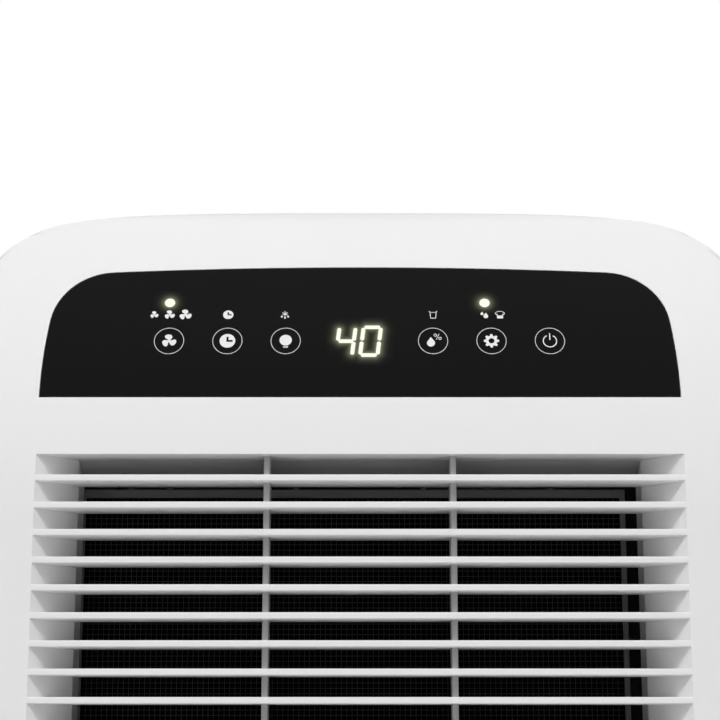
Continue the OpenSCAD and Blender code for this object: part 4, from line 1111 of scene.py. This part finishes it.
pail = ((32.8, 2.0), (33.3, 1.6), (33.6, -1.9), (36.0, -1.9), (36.3, 1.6), (36.8, 2.0))
signs.append(stroke([(x * mm, row + y * mm) for x, y in pail], fine_pen))
signs.append(stroke([(33.2 * mm, row + 1.3 * mm), (36.4 * mm, row + 1.3 * mm)], water_pen))
signs.append(patch(drop_outline(58.1 * mm, row + 0.5 * mm, 0.72 * mm)))
signs.append(patch(drop_outline(59.9 * mm, row - 0.8 * mm, 1.15 * mm)))
shirt_at = (66.6 * mm, row)
shirt = np.array([(-2.3, 0.9), (-1.0, 1.9), (1.0, 1.9), (2.3, 0.9), (1.7, 0.0), (1.3, 0.3), (1.3, -1.9),
                  (-1.3, -1.9), (-1.3, 0.3), (-1.7, 0.0)]) * mm
shirt_foot = np.array([(-1.3, -1.9), (1.3, -1.9), (1.3, -0.4), (-1.3, -0.4)]) * mm
signs.append(stroke(shirt + shirt_at, shirt_pen, True))
signs.append(patch(shirt_foot + shirt_at))
show(solid("panel_symbols", signs, print_white), "cabinet", "panel_black", "control_panel")

hands = []
for x, y, r, width in ((clock_key, 0.0, clock_r, 1.0 * mm), (small_clock_x, row, small_clock_r, 0.7 * mm)):
    elbow = y - 0.02 * r
    hands.append(stroke([(x, y + 0.58 * r), (x, elbow), (x + 0.66 * r, elbow)], width, height=ink * 1.5))
show(solid("panel_clock_hands", hands, acrylic), "cabinet", "panel_black", "control_panel")


def shining(name, colour, strength):
    """A lit legend behind the panel, a little uneven across its width."""
    material = bpy.data.materials.new(name)
    material.use_nodes = True
    tree, shader, place = links_of(material)
    uneven = noise_of(tree, place, 300.0, 2.0)
    glow = blend_range(tree, uneven, strength * 0.96, strength * 1.04)
    tree.links.new(glow, shader.inputs["Emission Strength"])
    shader.inputs["Base Color"].default_value = (0.01, 0.01, 0.01, 1)
    shader.inputs["Emission Color"].default_value = (*colour, 1)
    shader.inputs["Roughness"].default_value = 0.4
    return material


lit_height = 0.05 * mm
bars_lit = []


def segment(x0, y0, x1, y1):
    """One bar of a digit, with round ends. The digit is slanted by adding y times the tangent of 6.5
    degrees to x, and the bar's ends are kept for the light round it."""
    slant = math.tan(math.radians(6.5))
    p0 = np.array([x0 + y0 * slant, y0])
    p1 = np.array([x1 + y1 * slant, y1])
    bars_lit.append((p0, p1))
    a = math.degrees(math.atan2(*(p1 - p0)[::-1]))
    half = 0.95 * mm
    ends = [arc(*p1, half, a - 90, a + 90, 9), arc(*p0, half, a + 90, a + 270, 9)]
    return patch(np.concatenate(ends), lit_height)


def digit(x, low, high, wide, bars):
    """A seven-segment digit from its lit bars: across its top, middle or foot, or up its upper or
    lower left or right side."""
    middle = (low + high) / 2
    s = 1.25 * mm
    right = x + wide
    ends = {"top": (x + s, high, right - s, high),
            "middle": (x + s, middle, right - s, middle),
            "foot": (x + s, low, right - s, low),
            "upper_left": (x, middle + s, x, high - s),
            "upper_right": (right, middle + s, right, high - s),
            "lower_left": (x, low + s, x, middle - s),
            "lower_right": (right, low + s, right, middle - s)}
    return [segment(*ends[bar]) for bar in bars]


lit = shining("lit_warm_white", (1.0, 1.0, 0.86), 1.0)
tens = ("upper_left", "upper_right", "middle", "lower_right")
units = ("top", "upper_left", "upper_right", "lower_left", "lower_right", "foot")
shown = digit(-10.5 * mm, -7.7 * mm, 7.3 * mm, 7.6 * mm, tens)
shown += digit(0.9 * mm, -7.6 * mm, 7.4 * mm, 8.2 * mm, units)
show(solid("panel_digits", shown, lit), "cabinet", "display_dark", "control_panel")
lamp_at = np.array([(-90.8, 21.2), (59.5, 21.2)]) * mm
lamp_r = 2.45 * mm
lamps = [patch(circle(*place, lamp_r, 36), lit_height) for place in lamp_at]
show(solid("panel_lamps", lamps, lit), "cabinet", "lamp_clear", "control_panel")


def bar_distance(u, v, ends):
    """Distance from points to the nearest of the bars: to the foot of the perpendicular on the bar, or
    to the nearer end where the foot lies past it."""
    best = np.full(u.shape, 1.0)
    for (x0, y0), (x1, y1) in ends:
        span = np.array([x1 - x0, y1 - y0])
        t = np.clip(((u - x0) * span[0] + (v - y0) * span[1]) / max(np.dot(span, span), 1e-12), 0, 1)
        best = np.minimum(best, np.hypot(u - x0 - t * span[0], v - y0 - t * span[1]))
    return best


def halo(name, u0, u1, v0, v1, ends, core, fade, slot):
    """Light that spreads in the panel round its legends. Its strength is exp(-(distance - core) /
    fade), and it falls to 0 over the last 2 mm before the rim of its thin sheet."""
    cell = 0.4 * mm
    nu, nv = int((u1 - u0) / cell), int((v1 - v0) / cell)
    u, v = np.meshgrid(np.linspace(u0, u1, nu), np.linspace(v0, v1, nv), indexing="ij")
    glow = np.exp(-np.maximum(bar_distance(u, v, ends) - core, 0) / fade)
    rim = np.minimum.reduce([u - u0, u1 - u, v - v0, v1 - v])
    glow *= np.clip(rim / (2 * mm), 0, 1)
    front = printed(u, v, 0.03 * mm).reshape(-1, 3)
    back = printed(u, v, 0.01 * mm).reshape(-1, 3)
    i, j = np.meshgrid(np.arange(nu - 1), np.arange(nv - 1), indexing="ij")
    k = (i * nv + j).reshape(-1)
    face = np.stack([k, k + nv, k + nv + 1, k + 1], -1)
    loop = np.concatenate([np.arange(nu) * nv, (nu - 1) * nv + np.arange(1, nv),
                           (np.arange(nu - 1)[::-1]) * nv + nv - 1, np.arange(1, nv - 1)[::-1]])
    ahead = np.roll(loop, -1)
    rim_faces = np.stack([loop, ahead, ahead + nu * nv, loop + nu * nv], -1)
    points = np.concatenate([front, back])
    faces = np.concatenate([face, face[:, ::-1] + nu * nv, rim_faces])
    mesh = bpy.data.meshes.new(name)
    mesh.from_pydata(points.tolist(), [], faces.tolist())
    turned_outward(mesh)
    level = mesh.attributes.new("glow", "FLOAT", "POINT")
    level.data.foreach_set("value", np.concatenate([glow.reshape(-1), np.zeros(nu * nv)]))
    mesh.materials.append(halo_light)
    show(bpy.data.objects.new(name, mesh), "cabinet", slot, "control_panel")


halo_light = bpy.data.materials.new("halo_light")
halo_light.use_nodes = True
tree = halo_light.node_tree
tree.nodes.clear()
level = tree.nodes.new("ShaderNodeAttribute")
cover = tree.nodes.new("ShaderNodeMixShader")
light = tree.nodes.new("ShaderNodeEmission")
clear = tree.nodes.new("ShaderNodeBsdfTransparent")
end = tree.nodes.new("ShaderNodeOutputMaterial")
strength = tree.nodes.new("ShaderNodeMath")
level.attribute_name = "glow"
strength.operation = "MULTIPLY"
strength.inputs[1].default_value = 0.36
light.inputs["Color"].default_value = (0.62, 0.66, 0.42, 1)
light.inputs["Strength"].default_value = 1.0
tree.links.new(level.outputs["Fac"], strength.inputs[0])
tree.links.new(strength.outputs[0], cover.inputs["Fac"])
tree.links.new(clear.outputs[0], cover.inputs[1])
tree.links.new(light.outputs[0], cover.inputs[2])
tree.links.new(cover.outputs[0], end.inputs["Surface"])
halo_fade = 1.1 * mm
halo("panel_digit_glow", -17.5 * mm, 17.5 * mm, -14 * mm, 14 * mm, bars_lit,
     0.9 * mm, halo_fade, "display_dark")
for index, (x, y) in enumerate(lamp_at):
    halo("panel_lamp_glow_%d" % index, x - 9 * mm, x + 9 * mm, y - 8 * mm, y + 8 * mm, [((x, y), (x, y))],
         2.4 * mm, halo_fade, "lamp_clear")
